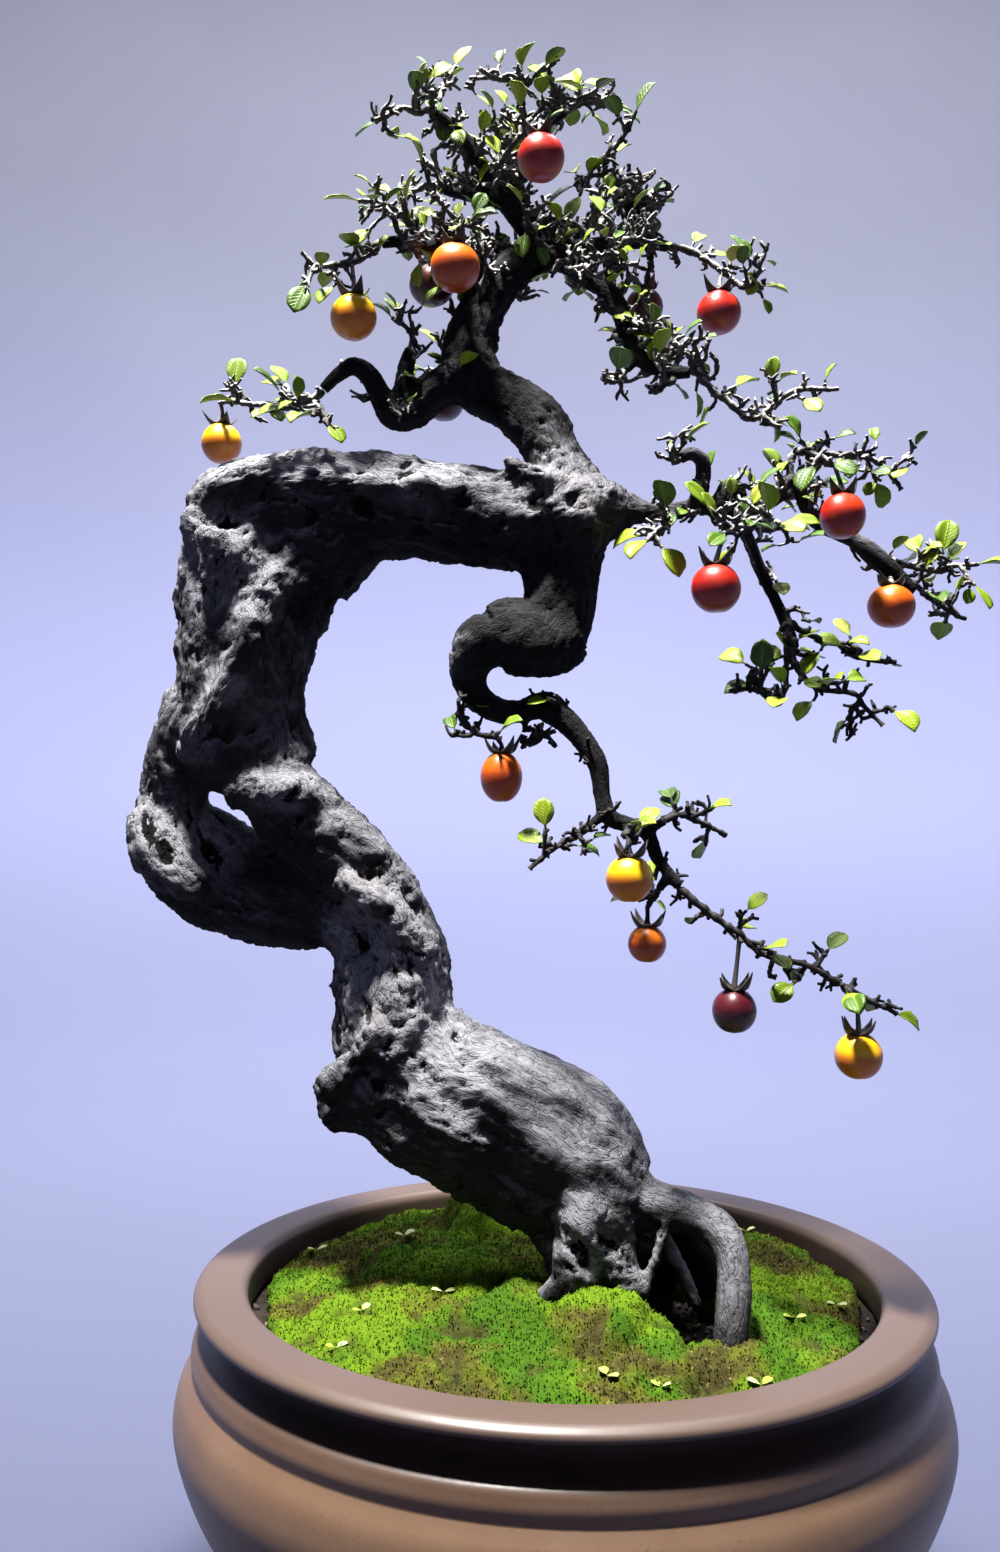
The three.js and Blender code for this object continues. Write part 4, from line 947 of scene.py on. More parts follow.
# lumps and ridges on the trunk, from the round window to the foot and its fine roots
burls = [
    [(-172, -26, 417, 7), (-156, -31, 420, 12), (-138, -31, 419, 12), (-127, -26, 411, 8)],
    [(-194, -4, 434, 9.6), (-180, -6, 426, 9.6), (-166, -8, 419, 9)],
    [(-190, -16, 573, 11), (-170, -24, 583, 11), (-140, -28, 584, 10), (-108, -32, 580, 9),
     (-74, -36, 575, 8)],
    [(-142, -18, 548, 8), (-156, -29, 520, 9), (-170, -35, 488, 9), (-188, -33, 456, 8),
     (-200, -24, 440, 6)],
    [(-196, -22, 562, 9), (-184, -30, 546, 12), (-186, -30, 530, 8)],
    [(-222, -6, 404, 13), (-214, -12, 386, 15), (-198, -14, 372, 12)],
    [(-90, -10, 348, 22), (-88, -21, 320, 24), (-84, -28, 294, 25)],
    [(-112, -36, 372, 9), (-98, -38, 366, 10), (-84, -36, 352, 9), (-74, -34, 338, 8)],
    [(-120, -40, 268, 7), (-108, -45, 282, 7), (-96, -48, 300, 6)],
    [(-72, -54, 268, 9), (-52, -60, 256, 9), (-40, -60, 246, 7)],
    [(-38, -50, 284, 8), (-22, -54, 272, 9), (-6, -54, 258, 8)],
    [(-30, -38, 588, 5), (-18, -44, 583, 6), (-6, -48, 577, 6)],
    [(-8, -52, 560, 9), (8, -50, 556, 8), (12, -44, 546, 6)],
    [(0, -48, 236, 8), (8, -52, 216, 9), (6, -50, 196, 8), (2, -46, 176, 7)],
    [(-14, -38, 208, 5), (-4, -44, 194, 7), (2, -46, 178, 8), (-4, -48, 168, 6)],
    [(8, -46, 184, 6), (18, -54, 172, 6), (34, -60, 168, 4)],
    [(6, -50, 206, 6), (20, -56, 190, 4.5), (26, -60, 176, 4)],
    [(0, -44, 238, 18), (8, -53, 221, 16), (10, -60, 204, 14), (8, -62, 188, 13), (8, -60, 171, 12)],
    [(14, -46, 234, 14), (24, -55, 214, 10), (27, -59, 198, 9), (30, -61, 184, 8), (35, -64, 171, 7)],
    [(12, -52, 214, 9), (21, -58, 203, 9), (28, -61, 192, 8), (37, -64, 181, 6)],
    [(51, -56, 213, 4), (47, -60, 199, 3), (42, -62, 187, 2.6), (38, -62, 172, 3)],
    [(2, -58, 184, 6), (-10, -62, 176, 5), (-20, -60, 171, 4)],
    [(46, -36, 206, 6), (57, -46, 188, 4.2), (66, -54, 172, 3.6)],
    [(58, -18, 208, 11), (66, -14, 190, 12), (72, -10, 168, 11)],
    [(34, -44, 200, 8), (34, -46, 184, 7), (30, -48, 170, 7)],
]
# hollows on the front: x, y, z, radius, depth
hollows = [
    (-80, -48, 334, 9, 7), (-72, -48, 320, 7, 6), (-55, -64, 301, 9, 5), (-64, -62, 294, 7, 4),
    (-107, -60, 298, 5, 4), (-86, -60, 309, 5, 4), (-124, -32, 262, 7, 5),
    (-14, -52, 566, 7, 5), (-196, -34, 398, 7, 5), (-184, -36, 567, 9, 8), (-172, -38, 568, 10, 10),
    (-158, -40, 568, 10, 10), (-145, -40, 567, 9, 9), (-131, -42, 564, 8, 8), (-62, -44, 556, 8, 6),
]
deepest = 13  # mm, where hollows overlap

# thick dark lengths of the right limb, and of the branch that hangs from the hook
swollenWood = [
    [(146, -17, 557, 3), (153, -18, 551, 5), (162, -18, 543, 5.8), (171, -18, 535, 4.6),
     (178, -18, 528, 3)],
    [(76, -37, 560, 3.6), (78, -38, 570, 5), (82, -38, 577, 5.6), (87, -38, 574, 4.4),
     (88, -37, 565, 3.4)],
    [(103, -52, 517, 3), (108, -53, 506, 3.6), (112, -53, 494, 3)],
    [(-12, -46, 463, 6.4), (-1, -49, 457, 6.6), (9, -52, 446, 5.6), (16, -55, 434, 5.2),
     (18, -57, 420, 4.5)],
    [(18, -57, 420, 4.2), (21, -59, 409, 4.8), (30, -59, 405, 4.4), (40, -59, 401, 3.9),
     (45, -59, 389, 3.8)],
]

# where the bark is painted in shade (above 0) and where it is painted as lit (below 0): x, y, z, reach,
# amount
paintedShadeLightSpots = [
    (-190, -26, 540, 40, -0.9), (-160, -28, 520, 22, -0.8), (-178, -34, 478, 20, -0.9),
    (-196, -30, 446, 22, -0.8), (-216, -10, 392, 42, -0.7), (-147, -34, 420, 24, -1.0),
    (-96, -34, 352, 24, -0.8), (-86, -40, 318, 40, -1.0), (-60, -56, 286, 34, -0.5),
    (0, -40, 580, 26, -0.8), (-150, -10, 596, 50, -0.7), (-80, -20, 590, 50, -0.7),
    (-122, -14, 510, 30, 1.0), (-120, -8, 470, 34, 1.0), (-135, 0, 430, 24, 0.6),
    (-160, -44, 568, 20, 0.9), (-100, -30, 548, 26, 0.8), (-50, -36, 545, 26, 0.8),
    (-150, -20, 380, 40, 0.8), (48, -22, 194, 30, 1.0), (66, -12, 188, 40, 1.0),
    (2, -76, 174, 20, 1.0), (12, -70, 208, 28, -0.8), (-112, -28, 338, 34, -1.0),
    (-98, -38, 372, 20, -0.9), (-124, -30, 260, 26, 0.9), (-54, -52, 486, 15, -1.4),
    (30, -44, 186, 22, 0.9), (10, -54, 444, 40, 1.0), (26, -59, 406, 34, 1.0),
    (52, -60, 380, 30, 0.9),
]


class GrainGuide:
    # for any place, how far along the nearest run of wood it is, and how far across it
    def __init__(self, runs, step):
        self.places = []
        across = up.cross(Vector((0.3, 1, 0.2))).normalized()
        for run in runs:
            path = smoothPath(run, step)
            length = 0
            for here, ahead in zip(path, path[1:]):
                along = (ahead - here).to_3d().normalized()
                across = (across - along * across.dot(along)).normalized()
                self.places.append((here.to_3d(), along, across, along.cross(across), length, here.w))
                length += (ahead - here).to_3d().length
        self.tree = kdtree.KDTree(len(self.places))
        for number, place in enumerate(self.places):
            self.tree.insert(place[0], number)
        self.tree.balance()

    def at(self, spot):
        _, number, _ = self.tree.find(spot)
        centre, along, across, beside, length, radius = self.places[number]
        offset = spot - centre
        return Vector((offset.dot(across), offset.dot(beside), length + offset.dot(along))), radius


def smoothPatch(spot):
    # 1 on the lower right trunk and the arched root, where the old bark has come off
    right = smoothStep(-45, -5, spot.x + 0.35 * (spot.z - 250)) * (1 - smoothStep(296, 322, spot.z))
    return right * max(smoothStep(206, 226, spot.z), smoothStep(54, 62, spot.x))


def drawnOut(lie, share):
    # a place in the grain, for a pattern that is stretched along it
    return Vector((lie.x, lie.y, lie.z * share))


def cellEdge(place, width):
    # 0 between the cells and 1 inside them
    near = noise.voronoi(place)[0]
    return smoothStep(0.02, width, near[1] - near[0])


def crease(place, width):
    # 0 along wandering lines and 1 away from them
    return smoothStep(0, width, abs(noise.noise(place)))


def barkMarks(spot, lie, fine):
    # each kind of mark: 0 on the untouched face and -1 at its deepest; crumbs go both ways
    return {
        "plate": cellEdge(drawnOut(lie, 0.42) / fine / 10, 0.30) - 1,
        "flake": cellEdge(drawnOut(lie, 0.6) / (4.4 * fine), 0.34) - 1,
        "furrow": crease(drawnOut(lie, 0.26) * 0.13 / fine, 0.15) - 1,
        "crack": crease(drawnOut(lie, 0.36) * 0.27 / fine, 0.20) - 1,
        "crumb": noise.fractal(spot * 0.24 / fine, 0.8, 2.1, 3),
        "pit": -smoothStep(0.30, 0.58, noise.noise(lie * 0.085 / fine + Vector((31, 17, 5)))),
    }


def hollowDepth(spot):
    # how far the hollows push a place in, mm
    dent = 0
    for x, y, z, reach, depth in hollows:
        gap = (spot - Vector((x, y, z))).length / reach
        dent = min(deepest, dent + depth * (1 - smoothStep(0, 1.5, gap)))
    return dent


def paintedShadeLightAt(spot):
    # above 0 where the bark is painted in shade, below 0 where it is painted as lit
    hook = smoothStep(-75, -52, spot.x) * smoothStep(425, 450, spot.z) * (1 - smoothStep(536, 556, spot.z))
    dark = max(smoothStep(596, 622, spot.z), hook)  # the crown's wood and the hook are painted in shade all over
    ragged = 0.3 * noise.noise(spot * 0.09)
    for x, y, z, reach, amount in paintedShadeLightSpots:
        gap = (spot - Vector((x, y, z))).length / reach
        dark += amount * (1 - smoothStep(0.45, 1.05, gap + ragged))
    return max(-1, min(1, dark))


def carveBark(piece, guide, scale, marks):
    # pushes the points of a remeshed piece in and out along their normals
    mesh = piece.data
    crests, moved, grains, paintedShadeLight = [], [], [], []
    for vert, facing in zip(mesh.vertices, mesh.vertex_normals):
        spot = vert.co / mm
        grain, radius = guide.at(spot)
        bare = smoothPatch(spot)
        fine = max(0.42, min(1, radius / 22))
        lie = grain + noise.noise_vector(grain * 0.045 / fine) * 6 * fine
        swell = noise.noise(grain * 0.028) * 3.0 + noise.noise(grain * 0.062 + Vector((7, 3, 5))) * 1.8
        swell += noise.noise(drawnOut(lie, 0.24) * 0.062 + Vector((3, 9, 1))) * 4.4
        found = barkMarks(spot, lie, fine)
        rough = sum(marks[name] * depth for name, depth in found.items())
        rough = rough * (1 - 0.78 * bare) + bare * found["furrow"] * 0.6
        dent = hollowDepth(spot)
        moved.append(spot + facing.vector * ((swell + rough) * min(1, radius / 26) * scale - dent))
        # crest drops in cracks and pits, where the bark goes dark partly from its own fissures and partly as
        # painted shade, and in hollows, as painted shade
        crests.append(max(0, min(1, 1 + rough / 3.6 - dent * 0.12)))
        paintedShadeLight.append(paintedShadeLightAt(spot))
        grains += list(lie * mm)
    for vert, spot in zip(mesh.vertices, moved):
        vert.co = spot * mm
    for name, values in (("crest", crests), ("paintedShadeLight", paintedShadeLight)):
        mesh.attributes.new(name, "FLOAT", "POINT").data.foreach_set("value", values)
    mesh.attributes.new("grain", "FLOAT_VECTOR", "POINT").data.foreach_set("vector", grains)
    mesh.update()


def barkFinish(look, name="old_bark", paleAshAndLight=1.0):
    finish = Finish(name)
    crest = finish.attribute("crest")
    along = finish.stretched((1, 1, 0.30), place=finish.attribute("grain", "Vector"))
    patch = finish.grain(18, 4, 0.6)
    mottle = finish.grain(170, 5, 0.65)
    grit = finish.grain(700, 4, 0.7)
    split = (finish.grain(230, 4, 0.6, along) - 0.5).magnitude().rise(0.0, 0.055)
    scale = finish.cells(210, "DISTANCE_TO_EDGE", along).rise(0.0, 0.10)
    face = crest.rise(0.10, 0.65) * (0.45 + 0.55 * split) * (0.80 + 0.20 * scale)
    # painted shade darkens the bark and takes away its pale ash; painted light does the opposite
    paintedShadeLight = finish.attribute("paintedShadeLight")
    # near black where crest is low and where painted in shade, charcoal on the open faces; the same near
    # black also marks soot specks
    tone = finish.mix(face.rise(0.05, 0.45) * (1 - paintedShadeLight * 0.6), look["sootAndShade"], look["charcoal"])
    # painted light: the pale ash shows mostly on up-facing bark and on the spots painted as lit, over the
    # bark's own grey crests
    paintedLight = 0.025 + 0.975 * facingUp(finish).rise(-0.25, 0.60) + (0 - paintedShadeLight).rise(0.2, 1.0) * 0.30
    pale = face.rise(0.15, 0.65) * (0.6 + 0.4 * patch.rise(0.32, 0.66)) * (0.6 + 0.4 * mottle.rise(0.3, 0.6))
    pale = pale * (1 - paintedShadeLight * 0.93)
    tone = finish.mix(pale * paintedLight * paleAshAndLight, tone, look["ash"])
    brown = finish.grain(9, 3, 0.5).rise(0.55, 0.75) * 0.25 * (1 - paintedShadeLight * 0.8)
    tone = finish.mix(brown, tone, look["warm"])
    tone = finish.mix(grit.rise(0.55, 0.75) * 0.3, tone, look["sootAndShade"])
    relief = finish.bump(split * 0.8 + scale * 0.3 + mottle * 0.8 + grit * 0.4, 1.1, 0.8)
    return finish.surface(Base_Color=tone, Roughness=0.72 + grit * 0.25, Normal=relief,
                          Specular_IOR_Level=0.12)


def strandOf(stations, step, rounded=False):
    # a run of wood for tubes(), with rounded ends where it would show its flat ones
    path = [(place.to_3d(), place.w) for place in smoothPath(stations, step)]
    if rounded:
        for end, inward in ((0, 1), (-1, -2)):
            place, radius = path[end]
            outward = (place - path[inward][0]).normalized()
            cap = [(place + outward * radius * 0.45, radius * 0.86),
                   (place + outward * radius * 0.75, radius * 0.5)]
            path = cap[::-1] + path if end == 0 else path + cap
    return path


def makeTrunk(look):
    thick = [strandOf(run, look["step"], True) for run in heavyWood]
    thick += [strandOf(run, look["step"]) for run in [*stoutLimbs.values(), *roots.values()]]
    thick += [strandOf(run, 3, True) for run in burls]
    trunk = tubes("trunk_wood", thick, 5)
    finishWith(trunk, "REMESH", mode="VOXEL", voxel_size=look["voxel"] * mm)
    finishWith(trunk, "SMOOTH", factor=0.5, iterations=7)
    guide = GrainGuide([spine, hookSpine, roots["front"], roots["back"]], look["step"])
    carveBark(trunk, guide, 1.0, look["marks"])
    smoothFaces(trunk)
    dress(trunk, barkFinish(look), "bark", "trunk")
    return trunk


def makeLimbs(look):
    thin = [strandOf(run, 2) for run in fineLimbs.values()]
    thin += [strandOf([(*a, 2.8), (*b, 2.4)], 2) for a, b in spurs.values()]
    thin += [strandOf(run, 2, True) for run in swollenWood]
    wood = tubes("limb_wood", thin, 2)
    finishWith(wood, "REMESH", mode="VOXEL", voxel_size=look["fineVoxel"] * mm)
    finishWith(wood, "SMOOTH", factor=0.5, iterations=3)
    carveBark(wood, GrainGuide(fineLimbs.values(), 2), 1.15, look["marks"])
    smoothFaces(wood)
    dress(wood, barkFinish(look, "limb_bark", 0.5), "bark", "trunk")
    return wood


trunkWood = makeTrunk(barkLook)
print("trunk carved", len(trunkWood.data.polygons))
limbWood = makeLimbs(barkLook)
print("limbs carved", len(limbWood.data.polygons))

twigLook = {
    # lengths in mm; leafy is the share of twig tips that carry a leaf
    "gap": 0.3, "tip": 0.9, "leafLength": 16, "leafWidth": 10.5, "step": 1.7,
    "twigSpacing": 7.5, "leafy": 0.24, "joint": 3.6, "zigzag": 0.75, "end": 0.66, "forks": 0.5,
    "wood": (0.014, 0.011, 0.0105), "pale": (0.46, 0.45, 0.43), "dark": (0.006, 0.005, 0.005),
    "grey": (0.17, 0.155, 0.14),
}


def alongWay(places, share):
    # the place at a share of the stations of a way, and the heading there
    spot = share * (len(places) - 1)
    last = min(int(spot), len(places) - 2)
    here, ahead = places[last], places[last + 1]
    return here.lerp(ahead, spot - last), (ahead - here).normalized()


def shootsOf(name, spec):
    # the shoots and leaves of a spray, drawn as the CAD solids draw them
    draw = SeededDraw(spec["seed"])
    heading = Vector(spec["heading"]).normalized()
    start = Vector({**fineLimbs, **spurs}[name][-1][:3]) + heading * twigLook["gap"]
    lead = [start, start + heading * 3, *map(Vector, spec["ways"][0])]
    ends = spec["twigs"] + len(spec["ways"])
    due = 0
    shoots = []

    def addShoot(places, girths):
        nonlocal due
        face = Vector((draw.number() - 0.5, -0.3 - draw.number() * 0.5, 0.8)).normalized()
        due += spec["leaves"] / ends
        leaf = 0
        if due >= 0.99:
            due -= 1
            leaf = 0.8 + 0.35 * draw.number()
        shoots.append(dict(places=places, girths=girths, face=face, leaf=leaf))

    turned = 0
    total = sum(map(len, spec["ways"]))
    for number, way in enumerate(spec["ways"]):
        places = lead if number == 0 else [alongWay(lead, 0.25)[0], *map(Vector, way)]
        girth = 1.7 if number == 0 else 1.2
        last = len(places) - 1
        addShoot(places, [girth + (twigLook["tip"] - girth) * i / last for i in range(last + 1)])
        count = math.floor(spec["twigs"] * len(way) / total + 0.5)
        for i in range(count):
            point, run = alongWay(places, 0.3 + 0.62 * (i + 0.5) / count)
            turn = turned * 2.4 + draw.number() * 1.2
            across = up.cross(run).normalized()
            over = run.cross(across)
            aim = run * 0.45 + across * math.cos(turn) + over * math.sin(turn) + up * 0.2
            reach = spec["reach"] * (0.55 + 0.6 * draw.number())
            addShoot([point, point + aim.normalized() * reach], [0.95, 0.8])
            turned += 1
    return shoots


def knobblyStrand(places, girths, draw, wobble):
    # a twig with swollen joints and a slight zigzag
    stations = [(*place, girth) for place, girth in zip(places, girths)]
    path = smoothPath(stations, twigLook["step"])
    phase = draw.between(0, 50)
    strand = []
    for number, station in enumerate(path):
        place = station.to_3d()
        ease = min(1, number / 3, (len(path) - 1 - number) / 2)
        shift = noise.noise_vector(place * 0.19 + Vector((phase, 0, 0))) * wobble * ease
        knob = 1 + 0.34 * noise.noise(Vector((number * 0.8, phase, 3)))
        if number % 4 == 2:
            knob *= 1.32
        strand.append((place + shift, station.w * knob))
    return strand


def sideSpurs(strand, draw, every, reach):
    # stubby side shoots at the joints
    spurStrands = []
    for number in range(2, len(strand) - 1, every):
        if draw.number() > 0.82:
            continue
        place, radius = strand[number]
        run = (strand[number + 1][0] - strand[number - 1][0]).normalized()
        aim = (run * 0.35 + draw.direction() + up * 0.25).normalized()
        long = draw.between(*reach) + radius
        thick = min(radius * 0.85, 1.3)
        bend = draw.direction() * long * 0.22
        tip = place + aim * long
        spurStrands.append([(place, thick), (place + aim * long * 0.55 + bend, thick * 0.78),
                            (tip, thick * 0.85), (tip + aim * 0.5, thick * 0.45)])
    return spurStrands


def growTwig(start, heading, length, girth, draw, strands, tips, level):
    # a zigzag twig that forks as it goes, as many times over as its level
    places = [start]
    way = heading.normalized()
    parts = max(2, round(length / twigLook["joint"]))
    for _ in range(parts):
        way = (way + draw.direction() * twigLook["zigzag"] + up * 0.12).normalized()
        places.append(places[-1] + way * (length / parts))
    girths = [girth + (twigLook["end"] - girth) * i / parts for i in range(parts + 1)]
    strand = knobblyStrand(places, girths, draw, 0.5)
    strands.append(strand)
    strands += sideSpurs(strand, draw, 4, (1.0, 2.8))
    tips.append((strand[-1][0], way))
    if level > 0:
        for i in range(1, parts):
            if draw.number() < twigLook["forks"]:
                side = (way * 0.4 + draw.direction()).normalized()
                growTwig(places[i], side, length * draw.between(0.45, 0.7), girth * 0.84, draw,
                         strands, tips, level - 1)


def twigFinish(look):
    finish = Finish("twig_bark")
    mottle = finish.grain(300, 4, 0.65)
    patch = finish.grain(80, 3, 0.6)
    crust = mottle.rise(0.34, 0.52) * patch.rise(0.24, 0.46)
    height = finish.part("Z")
    crust = crust * (0.08 + 0.92 * height.rise(0.48, 0.56))  # less of the pale crust below 0.48 m, on the hanging branch
    tone = finish.mix(mottle.rise(0.3, 0.6), look["dark"], look["wood"])
    # painted light from above: crown twigs turn grey on their up-facing sides, and the pale lichen crust
    # shows mostly there
    lit = facingUp(finish).rise(-0.1, 0.6)
    tone = finish.mix(lit * mottle.rise(0.36, 0.60) * height.rise(0.60, 0.68) * 0.8, tone, look["grey"])
    tone = finish.mix(crust * (0.06 + 0.94 * lit), tone, look["pale"])
    relief = finish.bump(mottle, 0.7, 0.9)
    return finish.surface(Base_Color=tone, Roughness=0.8, Normal=relief, Specular_IOR_Level=0.3)


leafLook = {
    "along": 8, "across": 4, "veins": 9, "vein": (0.34, 0.42, 0.03),
    # the colour of the blade for each tone, from old and dark to nearly white; the nearly white end is a
    # painted highlight of leaves in strong light
    "stops": [(0.0, (0.012, 0.040, 0.004)), (0.35, (0.055, 0.13, 0.004)), (0.7, (0.18, 0.27, 0.004)),
              (1.0, (0.29, 0.35, 0.025)), (1.4, (0.52, 0.58, 0.26))],
}


def leafFinish(look):
    finish = Finish("leaf")
    uv = finish.node("ShaderNodeUVMap", {"uv_map": "UVMap"}, {})
    side = (finish.part("Y", uv) - 0.5).magnitude() * 2
    midrib = 1 - side.rise(0.02, 0.13)
    slant = finish.part("X", uv) * look["veins"] - side * 2.2
    veins = 1 - (slant.maths("FRACT", slant) - 0.5).magnitude().rise(0.03, 0.16)
    share = finish.attribute("tone") + (finish.grain(160, 3, 0.6) - 0.5) * 0.35
    colour = look["stops"][0][1]
    for (low, _), (high, lighter) in zip(look["stops"], look["stops"][1:]):
        colour = finish.mix(share.rise(low, high), colour, lighter)
    colour = finish.mix((midrib + veins * 0.35) * 0.35, colour, look["vein"])
    relief = finish.bump(midrib * 1.2 + veins * 0.5, 0.35, 0.6)
    return finish.surface(Base_Color=colour, Roughness=0.42, Normal=relief, Subsurface_Weight=0.12,
                          Subsurface_Radius=(0.002, 0.003, 0.001), Specular_IOR_Level=0.35)


def leafHalfWidth(u):
    # a short stalk, then an oval that is widest past its middle and round at the tip
    u = min(1, max(0, u))
    widest = 0.58
    if u > widest:
        oval = math.sqrt(max(0, 1 - ((u - widest) / 0.42) ** 2))
    else:
        oval = math.sin(math.pi / 2 * u / widest) ** 1.25
    return 0.30 * oval * smoothStep(0.08, 0.26, u) + 0.014


def leafTemplate(look):
    # one ovate blade a unit long on a short stalk, folded along its midrib and curled
    deselectAll()
    bpy.ops.mesh.primitive_grid_add(x_subdivisions=look["along"],
                                    y_subdivisions=look["across"], size=1)
    leaf = bpy.context.object
    for vert in leaf.data.vertices:
        u, v = vert.co.x + 0.5, vert.co.y * 2
        half = leafHalfWidth(u)
        crimp = 0.012 * math.sin(u * 17) * v * v
        vert.co = (u, v * half, 0.10 * abs(v) * half / 0.3 - 0.20 * (u - 0.35) ** 2 + crimp + 0.02)
    finishWith(leaf, "SOLIDIFY", thickness=0.022, offset=0)
    points = [vert.co.copy() for vert in leaf.data.vertices]
    faces = [tuple(face.vertices) for face in leaf.data.polygons]
    uvs = [(p.x, 0.5 + 0.5 * max(-1, min(1, p.y / leafHalfWidth(p.x)))) for p in points]
    bpy.data.objects.remove(leaf)
    return points, faces, uvs


def leavesPiece(name, leaves, template):
    # leaves are dicts of foot, along, face, long, wide, curl and tone
    points, faces, tones, uvs = [], [], [], []
    for leaf in leaves:
        along = leaf["along"].normalized()
        side = leaf["face"].cross(along).normalized()
        face = along.cross(side)
        start = len(points)
        for place in template[0]:
            points.append(leaf["foot"] + along * place.x * leaf["long"]
                          + side * place.y * leaf["wide"] + face * place.z * leaf["long"] * leaf["curl"])
        faces += [tuple(start + corner for corner in sides) for sides in template[1]]
        tones += [leaf["tone"]] * len(template[0])
        uvs += template[2]
    piece = meshPiece(name, points, faces, {"tone": tones}, uvs)
    smoothFaces(piece)
    return piece


def leafTone(draw):
    # mostly fresh yellow green, some dark, a few nearly white in the light
    pick = draw.number()
    if pick < 0.26:
        return draw.between(0.1, 0.4)
    if pick < 0.94:
        return draw.between(0.5, 0.85)
    return draw.between(0.9, 1.1)


def tipLeaf(place, way, sizes, draw, curls=None):
    # a leaf at the end of a twig, its face turned up and to the front
    face = Vector((draw.between(-0.5, 0.5), draw.between(-0.8, -0.2), 0.8)).normalized()
    size = draw.between(*sizes)
    along = way + draw.direction() * 0.4
    wide = size * draw.between(0.95, 1.2)
    curl = draw.between(*curls) if curls else 1.0
    return dict(foot=place - way * 0.4, along=along, face=face, long=size, wide=wide, curl=curl,
                tone=leafTone(draw))


def stalkStrand(fruit, draw):
    base = Vector(fruit["at"]) + up * (fruit["tall"] / 2 + 0.2)
    stem = Vector(fruit["stem"])
    middle = base.lerp(stem, 0.5) + Vector((draw.between(-1, 1), draw.between(-1, 1), 0)) * 1.2
    return [(base, 1.9), (base + up * 1.2, 1.4), (middle, 1.05), (stem, 1.2)]


def makeSpray(name, spec, template, twigMaterial, leafMaterial):
    draw = SeededDraw(spec["seed"] * 77 + 5)
    strands, tips, leaves = [], [], []
    for shoot in shootsOf(name, spec):
        places, leaf = shoot["places"], shoot["leaf"]
        strand = knobblyStrand(places, [girth * 1.28 for girth in shoot["girths"]], draw, 0.9)
        strands.append(strand)
        strands += sideSpurs(strand, draw, 4, (1.2, 3.4))
        run = (places[-1] - places[-2]).normalized()
        if leaf > 0:
            leaves.append(dict(foot=places[-1] - run, along=run + draw.direction() * 0.12,
                               face=shoot["face"], long=twigLook["leafLength"] * leaf + 1,
                               wide=twigLook["leafWidth"] * leaf / 0.6,
                               curl=draw.between(0.6, 1.5), tone=leafTone(draw)))
        else:
            tips.append((places[-1], run))
        length = sum((ahead - here).length for here, ahead in zip(places, places[1:]))
        count = max(2, min(14, round(length / twigLook["twigSpacing"])))
        for number in range(count):
            point, way = alongWay(places, 0.15 + 0.8 * (number + 0.5) / count)
            if draw.number() < 0.8:
                side = (way * 0.5 + draw.direction() + up * 0.15).normalized()
                growTwig(point, side, draw.between(7, 15), 1.35, draw, strands, tips, 1)
    for place, way in tips:
        if draw.number() < twigLook["leafy"]:
            leaves.append(tipLeaf(place, way, (9, 16), draw, curls=(0.6, 1.6)))
    strands += [stalkStrand(fruit, draw) for fruit in fruits if fruit["on"] == name]
    twigs = tubes(f"twigs_{name}", strands, 1)
    smoothFaces(twigs)
    dress(twigs, twigMaterial, "leafy_twigs", f"spray_{name}")
    if leaves:
        blades = leavesPiece(f"leaves_{name}", leaves, template)
        dress(blades, leafMaterial, "leafy_twigs", f"spray_{name}")
    return len(twigs.data.polygons), len(leaves)


twigMaterial = twigFinish(twigLook)
leafMaterial = leafFinish(leafLook)
oneLeaf = leafTemplate(leafLook)
made = [makeSpray(name, spec, oneLeaf, twigMaterial, leafMaterial) for name, spec in sprays.items()]
print("sprays grown", *(sum(counts) for counts in zip(*made)), "twig faces and leaves")

# Twigs that grow straight from the limbs, between the sprays
limbTwigLook = {
    # the limbs that a piece covers, the first station and the share of stations that carry a twig,
    # its length, girth and times of forking, and the share of tips that carry a leaf
    "crown": dict(runs=["mid_tip", "top_tip", "up_right", "left_mid", "left_high", "crown_left",
                        "crown_top", "crown_right"],
                  every=0.58, long=(12, 30), girth=2.1, level=2, leafy=0.17),
    "top": dict(runs=["leader"], first=8, every=0.70, long=(12, 30), girth=2.1, level=2, leafy=0.17),
    "left": dict(runs=["left_low", "stub_tip"], every=0.5, long=(6, 18), girth=1.3, level=1, leafy=0.16),
    "right": dict(runs=["right_arch", "down"], every=0.42, long=(8, 20), girth=1.5, level=2, leafy=0.15),
    "cascade": dict(runs=["cascade_tip"], every=0.50, long=(5, 14), girth=1.2, level=1, leafy=0.08),
}


